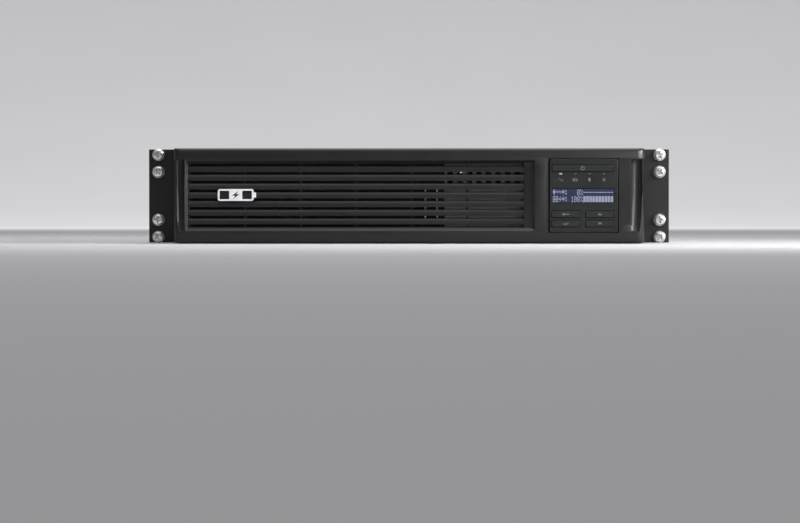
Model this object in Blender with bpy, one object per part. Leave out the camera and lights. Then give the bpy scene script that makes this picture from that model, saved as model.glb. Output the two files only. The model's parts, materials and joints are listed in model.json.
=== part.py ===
"""A rack-mount uninterruptible power supply, two rack units high, as separate sub-parts.

Every length below is in millimetres; finish() turns a mesh into Blender's metres.
X runs to the right of someone who faces the front, Y to the back and Z up. The origin is
the middle of the footprint, on the surface that the chassis stands on.
"""

import math

import bmesh
import bpy
from mathutils import Matrix, Vector

MM = 0.001

# The rack standard: a 19 inch panel, two units high, and its screw pattern.
RACK_PANEL_WIDTH = 482.6
RACK_HOLE_SPACING = 465.1
RACK_HOLE_ROWS = (-38.1, -22.225, 22.225, 38.1)

# Overall sizes. The chassis stands at Z 0 and the bezel just clears that surface.
DEPTH = 477.0
BODY_WIDTH = 430.0
BODY_HEIGHT = 86.6
BEZEL_WIDTH = 433.6
BEZEL_BOTTOM, BEZEL_TOP = 0.3, 87.5
MIDDLE = (BEZEL_BOTTOM + BEZEL_TOP) / 2
SHEET = 1.2
GAP = 0.3

# Planes across the depth, front to back.
KEY_FACE = -DEPTH / 2
HOUSING_FACE = KEY_FACE + 0.5
BEZEL_FACE = HOUSING_FACE + 1.0
BEZEL_BACK = BEZEL_FACE + 25.5
PANEL_FACE = BEZEL_BACK + 0.5
PANEL_BACK = PANEL_FACE + SHEET
INSIDE_FRONT = PANEL_BACK + GAP
REAR_FACE = DEPTH / 2 - 3.0
REAR_INNER = REAR_FACE - SHEET
INSIDE_BACK = REAR_INNER - GAP

# The chassis: the inner faces of its walls, the flanges that carry the cover, and its vents.
SIDE_OUT = BODY_WIDTH / 2
BODY_X = (-SIDE_OUT, SIDE_OUT)
SIDE_IN = SIDE_OUT - SHEET
COVER_UNDER = BODY_HEIGHT - SHEET
FLANGE_TOP = COVER_UNDER - GAP
FLANGE_REACH = 10.0
DIVIDER_X = 33.3
BAY_BACK = 109.5
RUNNER_XS = (-190.0, 2.0)
RUNNER_WIDTH = 8.0
RUNNER_TOP = 4.2
SIDE_VENT_YS = [20.0 + 9.0 * i for i in range(10)]
SIDE_VENT_Z = (28.0, 58.0)
COVER_VENT_CENTRE = (125.0, 45.0)
COVER_VENT_SIZE = (50.0, 3.0)
INTAKE_XS = [38.2 + 8.9 * i for i in range(8)]
INTAKE_ZS = (64.8, 56.7)
INTAKE_RADIUS = 2.9
CABLE_SLOT_X = (178.0, 189.0)
CABLE_SLOT_Z = (28.0, 56.0)
EAR_SHEET = 2.0
EAR_LEG = 91.0

# The battery module, which slides out through an opening in the front panel.
BAY_OPENING_X = (-196.0, 22.0)
BAY_OPENING_Z = (4.0, 82.0)
TRAY_X = (-195.0, 21.0)
TRAY_Z = (4.5, 40.0)
TRAY_Y = (PANEL_FACE, 97.7)
PLATE_X = (-207.5, 33.0)
PLATE_Z = (3.4, 84.4)
PLATE_BACK = PANEL_FACE - GAP
PLATE_FRONT = PLATE_BACK - 1.5
BATTERY_SIZE = (94.0, 151.0, 65.0)
BATTERY_STEP = 1.5
FASTENERS = {"left": (-202.0, MIDDLE), "right": (27.5, 70.0)}
LATCH_X = (14.5, 26.5)
LATCH_Z = (22.5, 51.5)

# The mating power connectors at the back of the battery bay.
PLUG_X = (-2.0, 18.0)
PLUG_Z = (16.0, 40.0)
PIN_XS = (3.0, 13.0)
PIN_Z = 28.0
PIN_RADIUS = 3.0

# The bezel: a framed recess that holds the louvres, a window for the display, finger scoops.
WALL = 2.5
LOUVRE_X = (-203.3, 105.8)
LOUVRE_Z = (MIDDLE - 29.4, MIDDLE + 30.2)
RECESS_X = (-206.1, 115.4)
RECESS_Z = (MIDDLE - 33.1, MIDDLE + 33.1)
FACE_BOW = 1.2
EDGE_RADIUS = 3.0
CORNER_RADIUS = 7.0
RECESS_FLOOR = BEZEL_FACE + 4.0
RECESS_RIGHT_SIDE = [(0.0, 115.4, 0.0), (1.5, 115.0, 1.1), (2.9, 113.9, 3.3), (3.6, 111.5, 3.3)]
SLAT_COUNT = 7
SLAT_PITCH = 8.07
SLAT_HEIGHT = 6.1
SLAT_FRONT = RECESS_FLOOR - 0.5
TOP_SLAT_Z = MIDDLE + 24.7
LOUVRE_FRAME_FRONT = RECESS_FLOOR + WALL + GAP
LOUVRE_FRAME_BACK = LOUVRE_FRAME_FRONT + 3.0
SCOOP_Z = (MIDDLE - 33.0, MIDDLE + 33.4)
SCOOPS = {"left": (-207.0, -213.2, 5.2), "right": (203.9, 213.2, 6.5)}
SCOOP_LEAN = 2.4
FACE_LEVELS = (4.0, 12.0, 20.0, 27.5)
CLIP_X = 210.0
CLIP_Z = (36.0, 51.0)

# The display module, on the right of the front.
DISPLAY_X = (129.3, 191.9)
DISPLAY_Z = (MIDDLE - 33.5, MIDDLE + 33.8)
DISPLAY_BACK = PANEL_FACE - GAP
WINDOW_X = (131.2, 188.4)
WINDOW_Z = (MIDDLE - 7.0, MIDDLE + 6.7)
LIGHT_XS = [139.3 + 13.2 * i for i in range(4)]
LIGHT_Z = MIDDLE + 20.0
LIGHT_SIZE = (3.4, 1.8)
BOARD_Y = (-226.0, -224.4)
RIBBON_SOCKET_X = (176.0, 190.0)
RIBBON_SOCKET_Z = (32.0, 52.0)
KEYS = {
    "power_button": ((131.4, 187.4), (MIDDLE + 22.3, MIDDLE + 28.3)),
    "escape_key": ((131.2, 156.8), (MIDDLE - 20.0, MIDDLE - 14.1)),
    "enter_key": ((131.2, 156.8), (MIDDLE - 28.6, MIDDLE - 22.7)),
    "up_key": ((162.4, 188.0), (MIDDLE - 20.0, MIDDLE - 14.1)),
    "down_key": ((162.4, 188.0), (MIDDLE - 28.6, MIDDLE - 22.7)),
}
KEY_CLEARANCE = 0.35
KEY_FLANGE = 0.6

# The rear: two fans, two banks of outlets, ports, a breaker, the inlet and a slot cover.
FAN_SIZE = 80.0
FAN_DEPTH = 25.0
FAN_Z = 42.9
FAN_XS = {"left": 77.0, "right": 163.0}
FAN_BORE = 38.0
FAN_BLADES = 7
OUTLET_BANKS = {"left": (-104.0, -40.0), "right": (-34.0, 30.0)}
OUTLET_Z = (12.0, 76.0)
OUTLET_OFFSETS = [(dx, dz) for dx in (-15.5, 15.5) for dz in (-15.0, 15.0)]
SLOT_COVER_X = (-206.0, -110.0)
SLOT_COVER_Z = (49.0, 79.0)
INLET_CENTRE = (-188.0, 26.0)
BREAKER_CENTRE = (-155.0, 26.0)
BREAKER_BUTTON_RADIUS = 4.0
PORTS_X = (-139.0, -109.0)
PORTS_Z = (17.0, 35.0)
NETWORK_PORT_X = (-137.0, -125.0)
USB_PORT_X = (-122.5, -112.5)

# The electronics bay, to the right of the battery bay and behind it.
CORE_X = (62.0, 186.0)
CORE_Y = (-180.0, -100.0)
CORE_Z = (5.5, 79.5)
CORE_LEG = 17.5
COIL_BUILD = 15.0
BOARD_X = (44.0, 206.0)
MAIN_BOARD_Y = (-62.0, 198.0)
MAIN_BOARD_Z = (10.0, 11.6)

LOOKS = {
    "bezel_plastic": ((0.030, 0.030, 0.032), 0.42, 0.0),
    "display_plastic": ((0.018, 0.019, 0.019), 0.30, 0.0),
    "key_plastic": ((0.022, 0.022, 0.023), 0.38, 0.0),
    "window": ((0.020, 0.024, 0.030), 0.08, 0.0),
    "lcd": ((0.10, 0.13, 0.30), 0.25, 0.0),
    "light_pipe": ((0.60, 0.65, 0.60), 0.30, 0.0),
    "black_steel": ((0.022, 0.022, 0.024), 0.45, 0.2),
    "zinc_steel": ((0.55, 0.56, 0.57), 0.35, 1.0),
    "nickel": ((0.75, 0.74, 0.72), 0.22, 1.0),
    "aluminium": ((0.60, 0.61, 0.62), 0.35, 1.0),
    "core_steel": ((0.16, 0.15, 0.14), 0.50, 0.7),
    "copper": ((0.62, 0.26, 0.11), 0.35, 0.8),
    "battery_case": ((0.055, 0.058, 0.062), 0.55, 0.0),
    "circuit_board": ((0.02, 0.16, 0.07), 0.45, 0.0),
    "connector": ((0.045, 0.045, 0.048), 0.50, 0.0),
    "connector_grey": ((0.30, 0.31, 0.33), 0.50, 0.0),
    "fan_plastic": ((0.03, 0.03, 0.03), 0.50, 0.0),
    "badge": ((0.85, 0.86, 0.88), 0.30, 0.0),
    "red_wire": ((0.55, 0.02, 0.02), 0.45, 0.0),
    "black_wire": ((0.02, 0.02, 0.02), 0.45, 0.0),
    "ribbon": ((0.45, 0.46, 0.48), 0.55, 0.0),
}

AXES = {"X": (1, 2, 0), "Y": (0, 2, 1), "Z": (0, 1, 2)}


# ---------------------------------------------------------------- shapes in a bmesh


def clear_scene():
    for obj in list(bpy.data.objects):
        bpy.data.objects.remove(obj, do_unlink=True)


def look(name):
    """The named material, made when it is first asked for."""
    found = bpy.data.materials.get(name)
    if found:
        return found
    colour, roughness, metallic = LOOKS[name]
    made = bpy.data.materials.new(name)
    made.use_nodes = True
    shader = made.node_tree.nodes["Principled BSDF"]
    shader.inputs["Base Color"].default_value = (*colour, 1)
    shader.inputs["Roughness"].default_value = roughness
    shader.inputs["Metallic"].default_value = metallic
    return made


def add_loft(bm, loops):
    """Adds a closed solid through loops of the same number of points, capped at both ends."""
    rows = [[bm.verts.new(Vector(p)) for p in loop] for loop in loops]
    count = len(rows[0])
    for near, far in zip(rows, rows[1:]):
        for i in range(count):
            j = (i + 1) % count
            bm.faces.new((near[i], near[j], far[j], far[i]))
    bm.faces.new(rows[0])
    bm.faces.new(rows[-1])


def placed(outline, axis, at):
    """The outline's points in space: they lie across the axis, in X, Y, Z order."""
    first, second, along = AXES[axis]
    points = []
    for u, v in outline:
        point = [0.0, 0.0, 0.0]
        point[first], point[second], point[along] = u, v, at
        points.append(point)
    return points


def add_prism(bm, outline, axis, low, high):
    add_loft(bm, [placed(outline, axis, low), placed(outline, axis, high)])


def add_box(bm, xs, ys, zs):
    corners = [(xs[0], ys[0]), (xs[1], ys[0]), (xs[1], ys[1]), (xs[0], ys[1])]
    add_prism(bm, corners, "Z", *zs)


def add_lathe(bm, profile, centre, axis="Y", sides=16):
    """Adds a turned solid. The profile's (radius, place along the axis) points start and end at radius 0."""
    first, second, along = AXES[axis]
    ring_points = profile[1:-1]
    ends = []
    for _, at in (profile[0], profile[-1]):
        point = list(centre)
        point[along] += at
        ends.append(bm.verts.new(point))
    rings = []
    for radius, at in ring_points:
        ring = []
        for i in range(sides):
            turn = 2 * math.pi * (i + 0.5) / sides
            point = list(centre)
            point[first] += radius * math.cos(turn)
            point[second] += radius * math.sin(turn)
            point[along] += at
            ring.append(bm.verts.new(point))
        rings.append(ring)
    for i in range(sides):
        j = (i + 1) % sides
        bm.faces.new((ends[0], rings[0][i], rings[0][j]))
        bm.faces.new((ends[1], rings[-1][j], rings[-1][i]))
        for near, far in zip(rings, rings[1:]):
            bm.faces.new((near[i], near[j], far[j], far[i]))


def add_cylinder(bm, centre, radius, low, high, axis="Y", sides=16):
    add_lathe(bm, [(0, low), (radius, low), (radius, high), (0, high)], centre, axis, sides)


def rounded(us, vs, radius, steps=3):
    """A rectangle's outline with arcs at its corners."""
    points = []
    corners = [(us[1], vs[1], 0), (us[0], vs[1], 90), (us[0], vs[0], 180), (us[1], vs[0], 270)]
    for u, v, start in corners:
        centre_u = u - radius if start in (0, 270) else u + radius
        centre_v = v - radius if start in (0, 90) else v + radius
        for i in range(steps + 1):
            turn = math.radians(start + 90 * i / steps)
            points.append((centre_u + radius * math.cos(turn), centre_v + radius * math.sin(turn)))
    return points


def oblong(centre, length, width, steps=4):
    """A slot's outline, long in its first direction."""
    half = (length - width) / 2
    points = []
    for side, start in ((1, -90), (-1, 90)):
        for i in range(steps + 1):
            turn = math.radians(start + 180 * i / steps)
            u = centre[0] + side * half + width / 2 * math.cos(turn)
            points.append((u, centre[1] + width / 2 * math.sin(turn)))
    return points


# ---------------------------------------------------------------- objects


def finish(name, bm, look_name, pivot=(0, 0, 0)):
    """Makes the bmesh an object of that name, in metres, with its origin at the pivot."""
    bmesh.ops.recalc_face_normals(bm, faces=bm.faces[:])
    bm.transform(Matrix.Scale(MM, 4) @ Matrix.Translation(-Vector(pivot)))
    mesh = bpy.data.meshes.new(name)
    bm.to_mesh(mesh)
    bm.free()
    mesh.shade_smooth()
    mesh.set_sharp_from_angle(angle=math.radians(35))
    if look_name:
        mesh.materials.append(look(look_name))
    obj = bpy.data.objects.new(name, mesh)
    obj.location = Vector(pivot) * MM
    bpy.context.scene.collection.objects.link(obj)
    return obj


def combine(obj, bm, operation):
    """Cuts the bmesh's shapes from the object, or unites them with it."""
    helper = finish(f"{obj.name}_helper_{len(obj.modifiers)}", bm, None)
    helper.hide_render = True
    helper.display_type = "WIRE"
    modifier = obj.modifiers.new(operation.title(), "BOOLEAN")
    modifier.operation = operation
    modifier.solver = "EXACT"
    modifier.object = helper


def cut(obj, bm):
    combine(obj, bm, "DIFFERENCE")


def unite(obj, bm):
    combine(obj, bm, "UNION")


def boxes(*sizes):
    bm = bmesh.new()
    for xs, ys, zs in sizes:
        add_box(bm, xs, ys, zs)
    return bm


def prisms(outlines, axis, low, high):
    bm = bmesh.new()
    for outline in outlines:
        add_prism(bm, outline, axis, low, high)
    return bm


def grown(span, by):
    """A (low, high) pair, longer by that much at each end."""
    return (span[0] - by, span[1] + by)


def box_object(name, look_name, xs, ys, zs):
    return finish(name, boxes((xs, ys, zs)), look_name)


def around(centre, width, height=None):
    """The (low, high) pairs in X and Z of a rectangle about a centre."""
    height = width if height is None else height
    return (
        (centre[0] - width / 2, centre[0] + width / 2),
        (centre[1] - height / 2, centre[1] + height / 2),
    )


# ---------------------------------------------------------------- chassis


def chassis_pan():
    """The folded steel pan: floor, sides, the flanges under the cover, and the tray's runners."""
    half = [
        (SIDE_OUT, 0),
        (SIDE_OUT, FLANGE_TOP),
        (SIDE_OUT - FLANGE_REACH, FLANGE_TOP),
        (SIDE_OUT - FLANGE_REACH, FLANGE_TOP - SHEET),
        (SIDE_IN, FLANGE_TOP - SHEET),
        (SIDE_IN, SHEET),
    ]
    outline = half + [(-x, z) for x, z in reversed(half)]
    pan = finish("chassis_pan", prisms([outline], "Y", INSIDE_FRONT, INSIDE_BACK), "black_steel")
    along = (INSIDE_FRONT + 1, BAY_BACK - 3)
    unite(pan, boxes(*[((x, x + RUNNER_WIDTH), along, (SHEET / 2, RUNNER_TOP)) for x in RUNNER_XS]))
    vents = []
    for side in (-1, 1):
        wall = sorted((side * (SIDE_IN - 1), side * (SIDE_OUT + 1)))
        vents += [(wall, (y, y + 3), SIDE_VENT_Z) for y in SIDE_VENT_YS]
    cut(pan, boxes(*vents))


def top_cover():
    """The flat lid, with cooling slots over the electronics."""
    cover_z = (COVER_UNDER, BODY_HEIGHT)
    cover = box_object("top_cover", "black_steel", BODY_X, (INSIDE_FRONT, INSIDE_BACK), cover_z)
    x, y = COVER_VENT_CENTRE
    places = [(x + dx, y + 10 * row - 35) for dx in (-32, 32) for row in range(8)]
    vents = [oblong(place, *COVER_VENT_SIZE, 3) for place in places]
    cut(cover, prisms(vents, "Z", COVER_UNDER - 1, BODY_HEIGHT + 1))


def fastener_holes(front, back):
    """The holes that the battery plate's fasteners go through."""
    holes = bmesh.new()
    for x, z in FASTENERS.values():
        add_cylinder(holes, (x, 0, z), 2.6, front, back, sides=12)
    return holes


def hexagon(centre, radius):
    turns = [math.radians(60 * i) for i in range(6)]
    return [(centre[0] + radius * math.cos(t), centre[1] + radius * math.sin(t)) for t in turns]


def front_panel():
    """The steel front: the battery opening, the air intake beside it, and slots for cable and clips."""
    panel = box_object("front_panel", "zinc_steel", BODY_X, (PANEL_FACE, PANEL_BACK), (GAP, BODY_HEIGHT))
    through = (PANEL_FACE - 1, PANEL_BACK + 1)
    openings = [(BAY_OPENING_X, through, BAY_OPENING_Z), (CABLE_SLOT_X, through, CABLE_SLOT_Z)]
    for side in (-1, 1):
        slot_x = sorted((side * (CLIP_X - 1.8), side * (CLIP_X + 3.0)))
        openings.append((slot_x, through, (CLIP_Z[0] - 1, CLIP_Z[1] + 1)))
    cut(panel, boxes(*openings))
    intake = [hexagon((x, z), INTAKE_RADIUS) for z in INTAKE_ZS for x in INTAKE_XS]
    cut(panel, prisms(intake, "Y", *through))
    cut(panel, fastener_holes(*through))


def fan_guard_slots(fan_x):
    """Level slots that fill the fan's circle, leaving bars between them."""
    slots = []
    for row in range(-4, 5):
        z = 7.6 * row
        half = math.sqrt((FAN_BORE - 1) ** 2 - z * z) - 1
        bars = (-half, -1.2, 1.2, half)
        slot_z = (FAN_Z + z - 1.9, FAN_Z + z + 1.9)
        for low, high in (bars[:2], bars[2:]):
            slots.append(((fan_x + low, fan_x + high), (REAR_INNER - 1, REAR_FACE + 1), slot_z))
    return slots


def rear_panel():
    """The steel back, with a cut-out for each thing that is mounted on it."""
    panel = box_object("rear_panel", "black_steel", BODY_X, (REAR_INNER, REAR_FACE), (GAP, BODY_HEIGHT))
    through = (REAR_INNER - 1, REAR_FACE + 1)
    openings = [(grown(xs, -2.5), through, grown(OUTLET_Z, -2.5)) for xs in OUTLET_BANKS.values()]
    slot = (grown(SLOT_COVER_X, -6), through, grown(SLOT_COVER_Z, -3))
    inlet_x, inlet_z = around(INLET_CENTRE, 28.6, 22.6)
    ports = (grown(PORTS_X, 0.5), through, grown(PORTS_Z, 0.5))
    cut(panel, boxes(*openings, slot, (inlet_x, through, inlet_z), ports))
    bushing = bmesh.new()
    add_cylinder(bushing, (BREAKER_CENTRE[0], 0, BREAKER_CENTRE[1]), 6.6, *through)
    cut(panel, bushing)
    for fan_x in FAN_XS.values():
        cut(panel, boxes(*fan_guard_slots(fan_x)))


def bay_divider():
    """The L-shaped wall that closes the battery bay's right side and back."""
    inner = (-SIDE_IN + 0.4, DIVIDER_X)
    outline = [
        (inner[1], INSIDE_FRONT),
        (inner[1] + SHEET, INSIDE_FRONT),
        (inner[1] + SHEET, BAY_BACK + SHEET),
        (inner[0], BAY_BACK + SHEET),
        (inner[0], BAY_BACK),
        (inner[1], BAY_BACK),
    ]
    height = (SHEET + GAP, FLANGE_TOP - SHEET - GAP)
    wall = finish("bay_divider", prisms([outline], "Z", *height), "zinc_steel")
    plug_x, plug_z = (PLUG_X[0] - 1, PLUG_X[1] + 1), (PLUG_Z[0] - 1, PLUG_Z[1] + 1)
    cut(wall, boxes((plug_x, (BAY_BACK - 1, BAY_BACK + 3), plug_z)))


def rack_ear(name, side):
    """A folded steel bracket: a flange on the rack's rail, and a leg along the chassis."""
    leg_in, leg_out, tip = SIDE_OUT + GAP, SIDE_OUT + GAP + EAR_SHEET, RACK_PANEL_WIDTH / 2
    front, back, leg_end = PANEL_FACE, PANEL_FACE + EAR_SHEET, PANEL_FACE + EAR_LEG
    outline = [(leg_in, leg_end), (leg_out, leg_end), (leg_out, back)]
    outline += [(tip, back), (tip, front), (leg_in, front)]
    outline = [(side * x, y) for x, y in outline]
    ear = finish(name, prisms([outline], "Z", 0.5, BODY_HEIGHT + 0.4), "black_steel")
    holes = [oblong((side * RACK_HOLE_SPACING / 2, MIDDLE + row), 10.5, 7) for row in RACK_HOLE_ROWS]
    cut(ear, prisms(holes, "Y", front - 1, back + 1))


def rack_screw(name, centre):
    """A pan-head screw with a cupped washer and a cross recess, along Y with its head at the front."""
    seat = PANEL_FACE - GAP
    profile = [(0, -4.5), (2.4, -4.3), (4.3, -3.3), (5.2, -1.8), (5.2, -1.0), (5.75, -1.0), (5.75, 0)]
    profile += [(2.9, 0), (2.9, 13.4), (2.3, 14.2), (0, 14.2)]
    bm = bmesh.new()
    add_lathe(bm, profile, (centre[0], seat, centre[1]), sides=14)
    screw = finish(name, bm, "nickel", (centre[0], seat, centre[1]))
    arm, half = 3.0, 0.6
    cross = [(arm, half), (half, half), (half, arm), (-half, arm), (-half, half), (-arm, half)]
    cross += [(-x, -z) for x, z in cross]
    outline = [(centre[0] + x, centre[1] + z) for x, z in cross]
    cut(screw, prisms([outline], "Y", seat - 6, seat - 2.2))


def rack_screws():
    number = 0
    for side in (-1, 1):
        for row in RACK_HOLE_ROWS:
            number += 1
            rack_screw(f"rack_screw_{number}", (side * RACK_HOLE_SPACING / 2, MIDDLE + row))


# ---------------------------------------------------------------- bezel


def bezel_outline(pushed_back):
    """The bezel seen from above, with arcs at its two front corners and its front moved back a little."""
    half, radius = BEZEL_WIDTH / 2, CORNER_RADIUS
    points = [(half, BEZEL_BACK), (-half, BEZEL_BACK)]
    for side, start in ((-1, 180), (1, 270)):
        for i in range(5):
            turn = math.radians(start + 90 * i / 4)
            x = side * (half - radius) + radius * math.cos(turn)
            points.append((x, BEZEL_FACE + radius + radius * math.sin(turn)))
    share = [(BEZEL_BACK - y) / (BEZEL_BACK - BEZEL_FACE) for _, y in points]
    return [(x, y + pushed_back * part) for (x, y), part in zip(points, share)]


def bezel_block():
    """The bezel before it is hollowed: its front bows forward a little, and its long edges are rounded."""
    half = (BEZEL_TOP - BEZEL_BOTTOM) / 2
    levels = []
    for i in range(4):
        turn = math.radians(30 * i)
        levels.append((half - EDGE_RADIUS * (1 - math.cos(turn)), EDGE_RADIUS * (1 - math.sin(turn))))
    levels += [(z, 0.0) for z in (34.6, *reversed(FACE_LEVELS))]
    levels += [(-z, back) for z, back in reversed(levels)]
    bm = bmesh.new()
    loops = []
    for z, back in levels:
        bowed = FACE_BOW * (z / half) ** 2
        loops.append(placed(bezel_outline(back + bowed), "Z", MIDDLE + z))
    add_loft(bm, loops)
    return finish("bezel_frame", bm, "bezel_plastic")


def face_rows(zs):
    """Heights from the lowest to the highest, on the bezel's own levels in between."""
    return [zs[0], *[MIDDLE - z for z in reversed(FACE_LEVELS)], *[MIDDLE + z for z in FACE_LEVELS], zs[1]]


def crown(z, zs):
    """One halfway between two heights, falling to nothing at each."""
    t = 2 * (z - zs[0]) / (zs[1] - zs[0]) - 1
    return 1 - t * t


def recess_loop(xs, zs, bow, y):
    """A rectangle facing the front whose right side bows to the left by the given amount."""
    right = [(xs[1] - bow * crown(z, zs), y, z) for z in face_rows(zs)]
    return [(xs[0], y, zs[0]), *right, (xs[0], y, zs[1])]


def recess_shape():
    """The recess round the louvres. Its right side falls steeply, then flattens towards the louvres."""
    ahead_x, ahead_z = (RECESS_X[0] - 1, RECESS_X[1] + 0.4), (RECESS_Z[0] - 1, RECESS_Z[1] + 1)
    loops = [recess_loop(ahead_x, ahead_z, 0, BEZEL_FACE - 1)]
    for inward, right, bow in RECESS_RIGHT_SIDE:
        share = inward / (RECESS_FLOOR - BEZEL_FACE)
        left = RECESS_X[0] + share * (LOUVRE_X[0] - RECESS_X[0])
        zs = [edge + share * (inner - edge) for edge, inner in zip(RECESS_Z, LOUVRE_Z)]
        loops.append(recess_loop((left, right), zs, bow, BEZEL_FACE + inward))
    for y in (RECESS_FLOOR, RECESS_FLOOR + WALL + 1):
        loops.append(recess_loop(LOUVRE_X, LOUVRE_Z, 0, y))
    bm = bmesh.new()
    add_loft(bm, loops)
    return bm


def scoop_rise(z):
    """Nothing at the foot of a scoop, one at its head, with a curve that flattens as it rises."""
    left_to_go = (SCOOP_Z[1] - z) / (SCOOP_Z[1] - SCOOP_Z[0])
    return 1 - left_to_go * left_to_go


def scoop_outline(inner, outer, depth):
    """A finger scoop seen from above: half an ellipse, cut back from the bezel's face."""
    centre, half = (inner + outer) / 2, (outer - inner) / 2
    turns = [math.radians(angle) for angle in (0, 24, 46, 68, 90, 112, 134, 156, 180)]
    curve = [(centre - half * math.cos(t), BEZEL_FACE + depth * math.sin(t)) for t in turns]
    return [(inner, BEZEL_FACE - 3), *curve, (outer, BEZEL_FACE - 3)]


def scoop_shape(inner, outer, depth):
    """A finger scoop: a ledge to pull on at its head, and a floor that comes forward towards its foot."""
    bm = bmesh.new()
    loops = []
    for z in face_rows(SCOOP_Z):
        rise = scoop_rise(z)
        lean = math.copysign(SCOOP_LEAN * rise, outer)
        outline = scoop_outline(inner, outer + lean, depth * (0.22 + 0.78 * rise))
        loops.append(placed(outline, "Z", z))
    add_loft(bm, loops)
    return bm


def notch_outline(side):
    """The cut that a scoop makes in the bezel's side, seen from the front."""
    edge = BEZEL_WIDTH / 2 + 0.05
    points = [(side * (edge + 2), SCOOP_Z[1]), (side * (edge + 2), SCOOP_Z[0])]
    return points + [(side * (edge - SCOOP_LEAN * scoop_rise(z)), z) for z in face_rows(SCOOP_Z)]


def clip_outline(side):
    """A spring clip seen from above: an arm through the front panel, with a catch behind it."""
    low, high, catch = CLIP_X - 1, CLIP_X + 1, PANEL_BACK + 1
    arm = [(low, BEZEL_FACE + 10), (high, BEZEL_FACE + 10), (high, catch), (high + 1, catch + 0.6)]
    return [(side * x, y) for x, y in [*arm, (low + 0.8, catch + 4), (low, catch + 4)]]


def bezel_frame():
    """The moulded front: a shell with a sloping recess, a display window, scoops and clips."""
    frame = bezel_block()
    hollow_x = (-BEZEL_WIDTH / 2 + WALL, BEZEL_WIDTH / 2 - WALL)
    hollow_z = (BEZEL_BOTTOM + WALL, BEZEL_TOP - WALL)
    between_scoops = (-199.0, 200.0)
    front = (BEZEL_FACE + WALL, BEZEL_FACE + 12)
    cut(frame, boxes((hollow_x, (BEZEL_FACE + 11, BEZEL_BACK + 1), hollow_z)))
    below, above = (hollow_z[0], RECESS_Z[0] - WALL), (RECESS_Z[1] + WALL, hollow_z[1])
    cut(frame, boxes((between_scoops, front, below), (between_scoops, front, above)))
    cut(frame, boxes(((RECESS_X[1] + WALL, between_scoops[1]), front, hollow_z)))
    seat_x = (LOUVRE_X[0] - 3.4, LOUVRE_X[1] + 3.4)
    seat_z = (LOUVRE_Z[0] - 3.4, LOUVRE_Z[1] + 3.4)
    cut(frame, boxes((seat_x, (RECESS_FLOOR + WALL, BEZEL_FACE + 12), seat_z)))
    cut(frame, recess_shape())
    display_x = (DISPLAY_X[0] - 0.5, DISPLAY_X[1] + 0.9)
    display_z = (DISPLAY_Z[0] - 0.5, DISPLAY_Z[1] + 0.5)
    cut(frame, boxes((display_x, (BEZEL_FACE - 2, BEZEL_FACE + 12), display_z)))
    edge, ahead, floor = DISPLAY_X[0], BEZEL_FACE - 0.5, BEZEL_FACE + 1.1
    ramp = [(edge - 5.8, ahead), (edge, ahead), (edge, floor), (edge - 2.2, floor)]
    cut(frame, prisms([ramp], "Z", *display_z))
    for scoop in SCOOPS.values():
        cut(frame, scoop_shape(*scoop))
    for side in (-1, 1):
        cut(frame, prisms([notch_outline(side)], "Y", BEZEL_FACE - 1, BEZEL_FACE + 8))
        unite(frame, prisms([clip_outline(side)], "Z", *CLIP_Z))


def slat_outline(z):
    """A louvre slat seen from the end: a face that leans back as it rises, on a short blade."""
    half, back = SLAT_HEIGHT / 2, LOUVRE_FRAME_BACK
    shape = [(0.6, -half), (0.0, -half + 0.8), (0.1, -half + 2.2), (0.6, 0.8), (1.4, half - 0.6), (2.2, half)]
    face = [(SLAT_FRONT + inward, z + rise) for inward, rise in shape]
    return face + [(back, z + half - 0.8), (back, z + half - 2.6), (back - 3, z - half + 0.9)]


def bezel_louvres():
    """The slatted insert: seven slats on a frame with upright ribs, clipped in from the back."""
    outer_x, outer_z = (LOUVRE_X[0] - 3, LOUVRE_X[1] + 3), (LOUVRE_Z[0] - 3, LOUVRE_Z[1] + 3)
    front, back = LOUVRE_FRAME_FRONT, LOUVRE_FRAME_BACK
    insert = box_object("bezel_louvres", "bezel_plastic", outer_x, (front, back), outer_z)
    lip = 0.9
    bars = [LOUVRE_X[0] + lip + (LOUVRE_X[1] - LOUVRE_X[0] - 2 * lip) * i / 6 for i in range(7)]
    windows = []
    for low, high in zip(bars, bars[1:]):
        windows.append(((low + 1, high - 1), (front - 1, back + 1), (LOUVRE_Z[0] + lip, LOUVRE_Z[1] - lip)))
    cut(insert, boxes(*windows))
    slats = [slat_outline(TOP_SLAT_Z - SLAT_PITCH * i) for i in range(SLAT_COUNT)]
    unite(insert, prisms(slats, "X", LOUVRE_X[0] + 0.4, LOUVRE_X[1] - 0.4))


def bezel_badge():
    """A plain battery symbol with a bolt cut through it, on the left of the louvres."""
    centre = (-159.5, MIDDLE + 0.6)
    body_x, body_z = around(centre, 33.0, 11.0)
    front = SLAT_FRONT - GAP - 1.1
    back = SLAT_FRONT - GAP
    badge = finish("bezel_badge", prisms([rounded(body_x, body_z, 2.0)], "Y", front, back), "badge")
    terminal_x, terminal_z = (body_x[1] - 0.5, body_x[1] + 2.2), (centre[1] - 2.4, centre[1] + 2.4)
    unite(badge, boxes((terminal_x, (front, back), terminal_z)))
    through, window_z = (front - 1, back + 1), (body_z[0] + 1.7, body_z[1] - 1.7)
    windows = [(body_x[0] + 1.7, centre[0] - 6), (centre[0] + 6, body_x[1] - 1.7)]
    cut(badge, boxes(*[(xs, through, window_z) for xs in windows]))
    bolt = [(2.6, 3.8), (-3.4, -0.7), (-0.3, -0.7), (-2.6, -3.8), (3.4, 0.7), (0.3, 0.7)]
    cut(badge, prisms([[(centre[0] + x, centre[1] + z) for x, z in bolt]], "Y", *through))


# ---------------------------------------------------------------- display module


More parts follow.
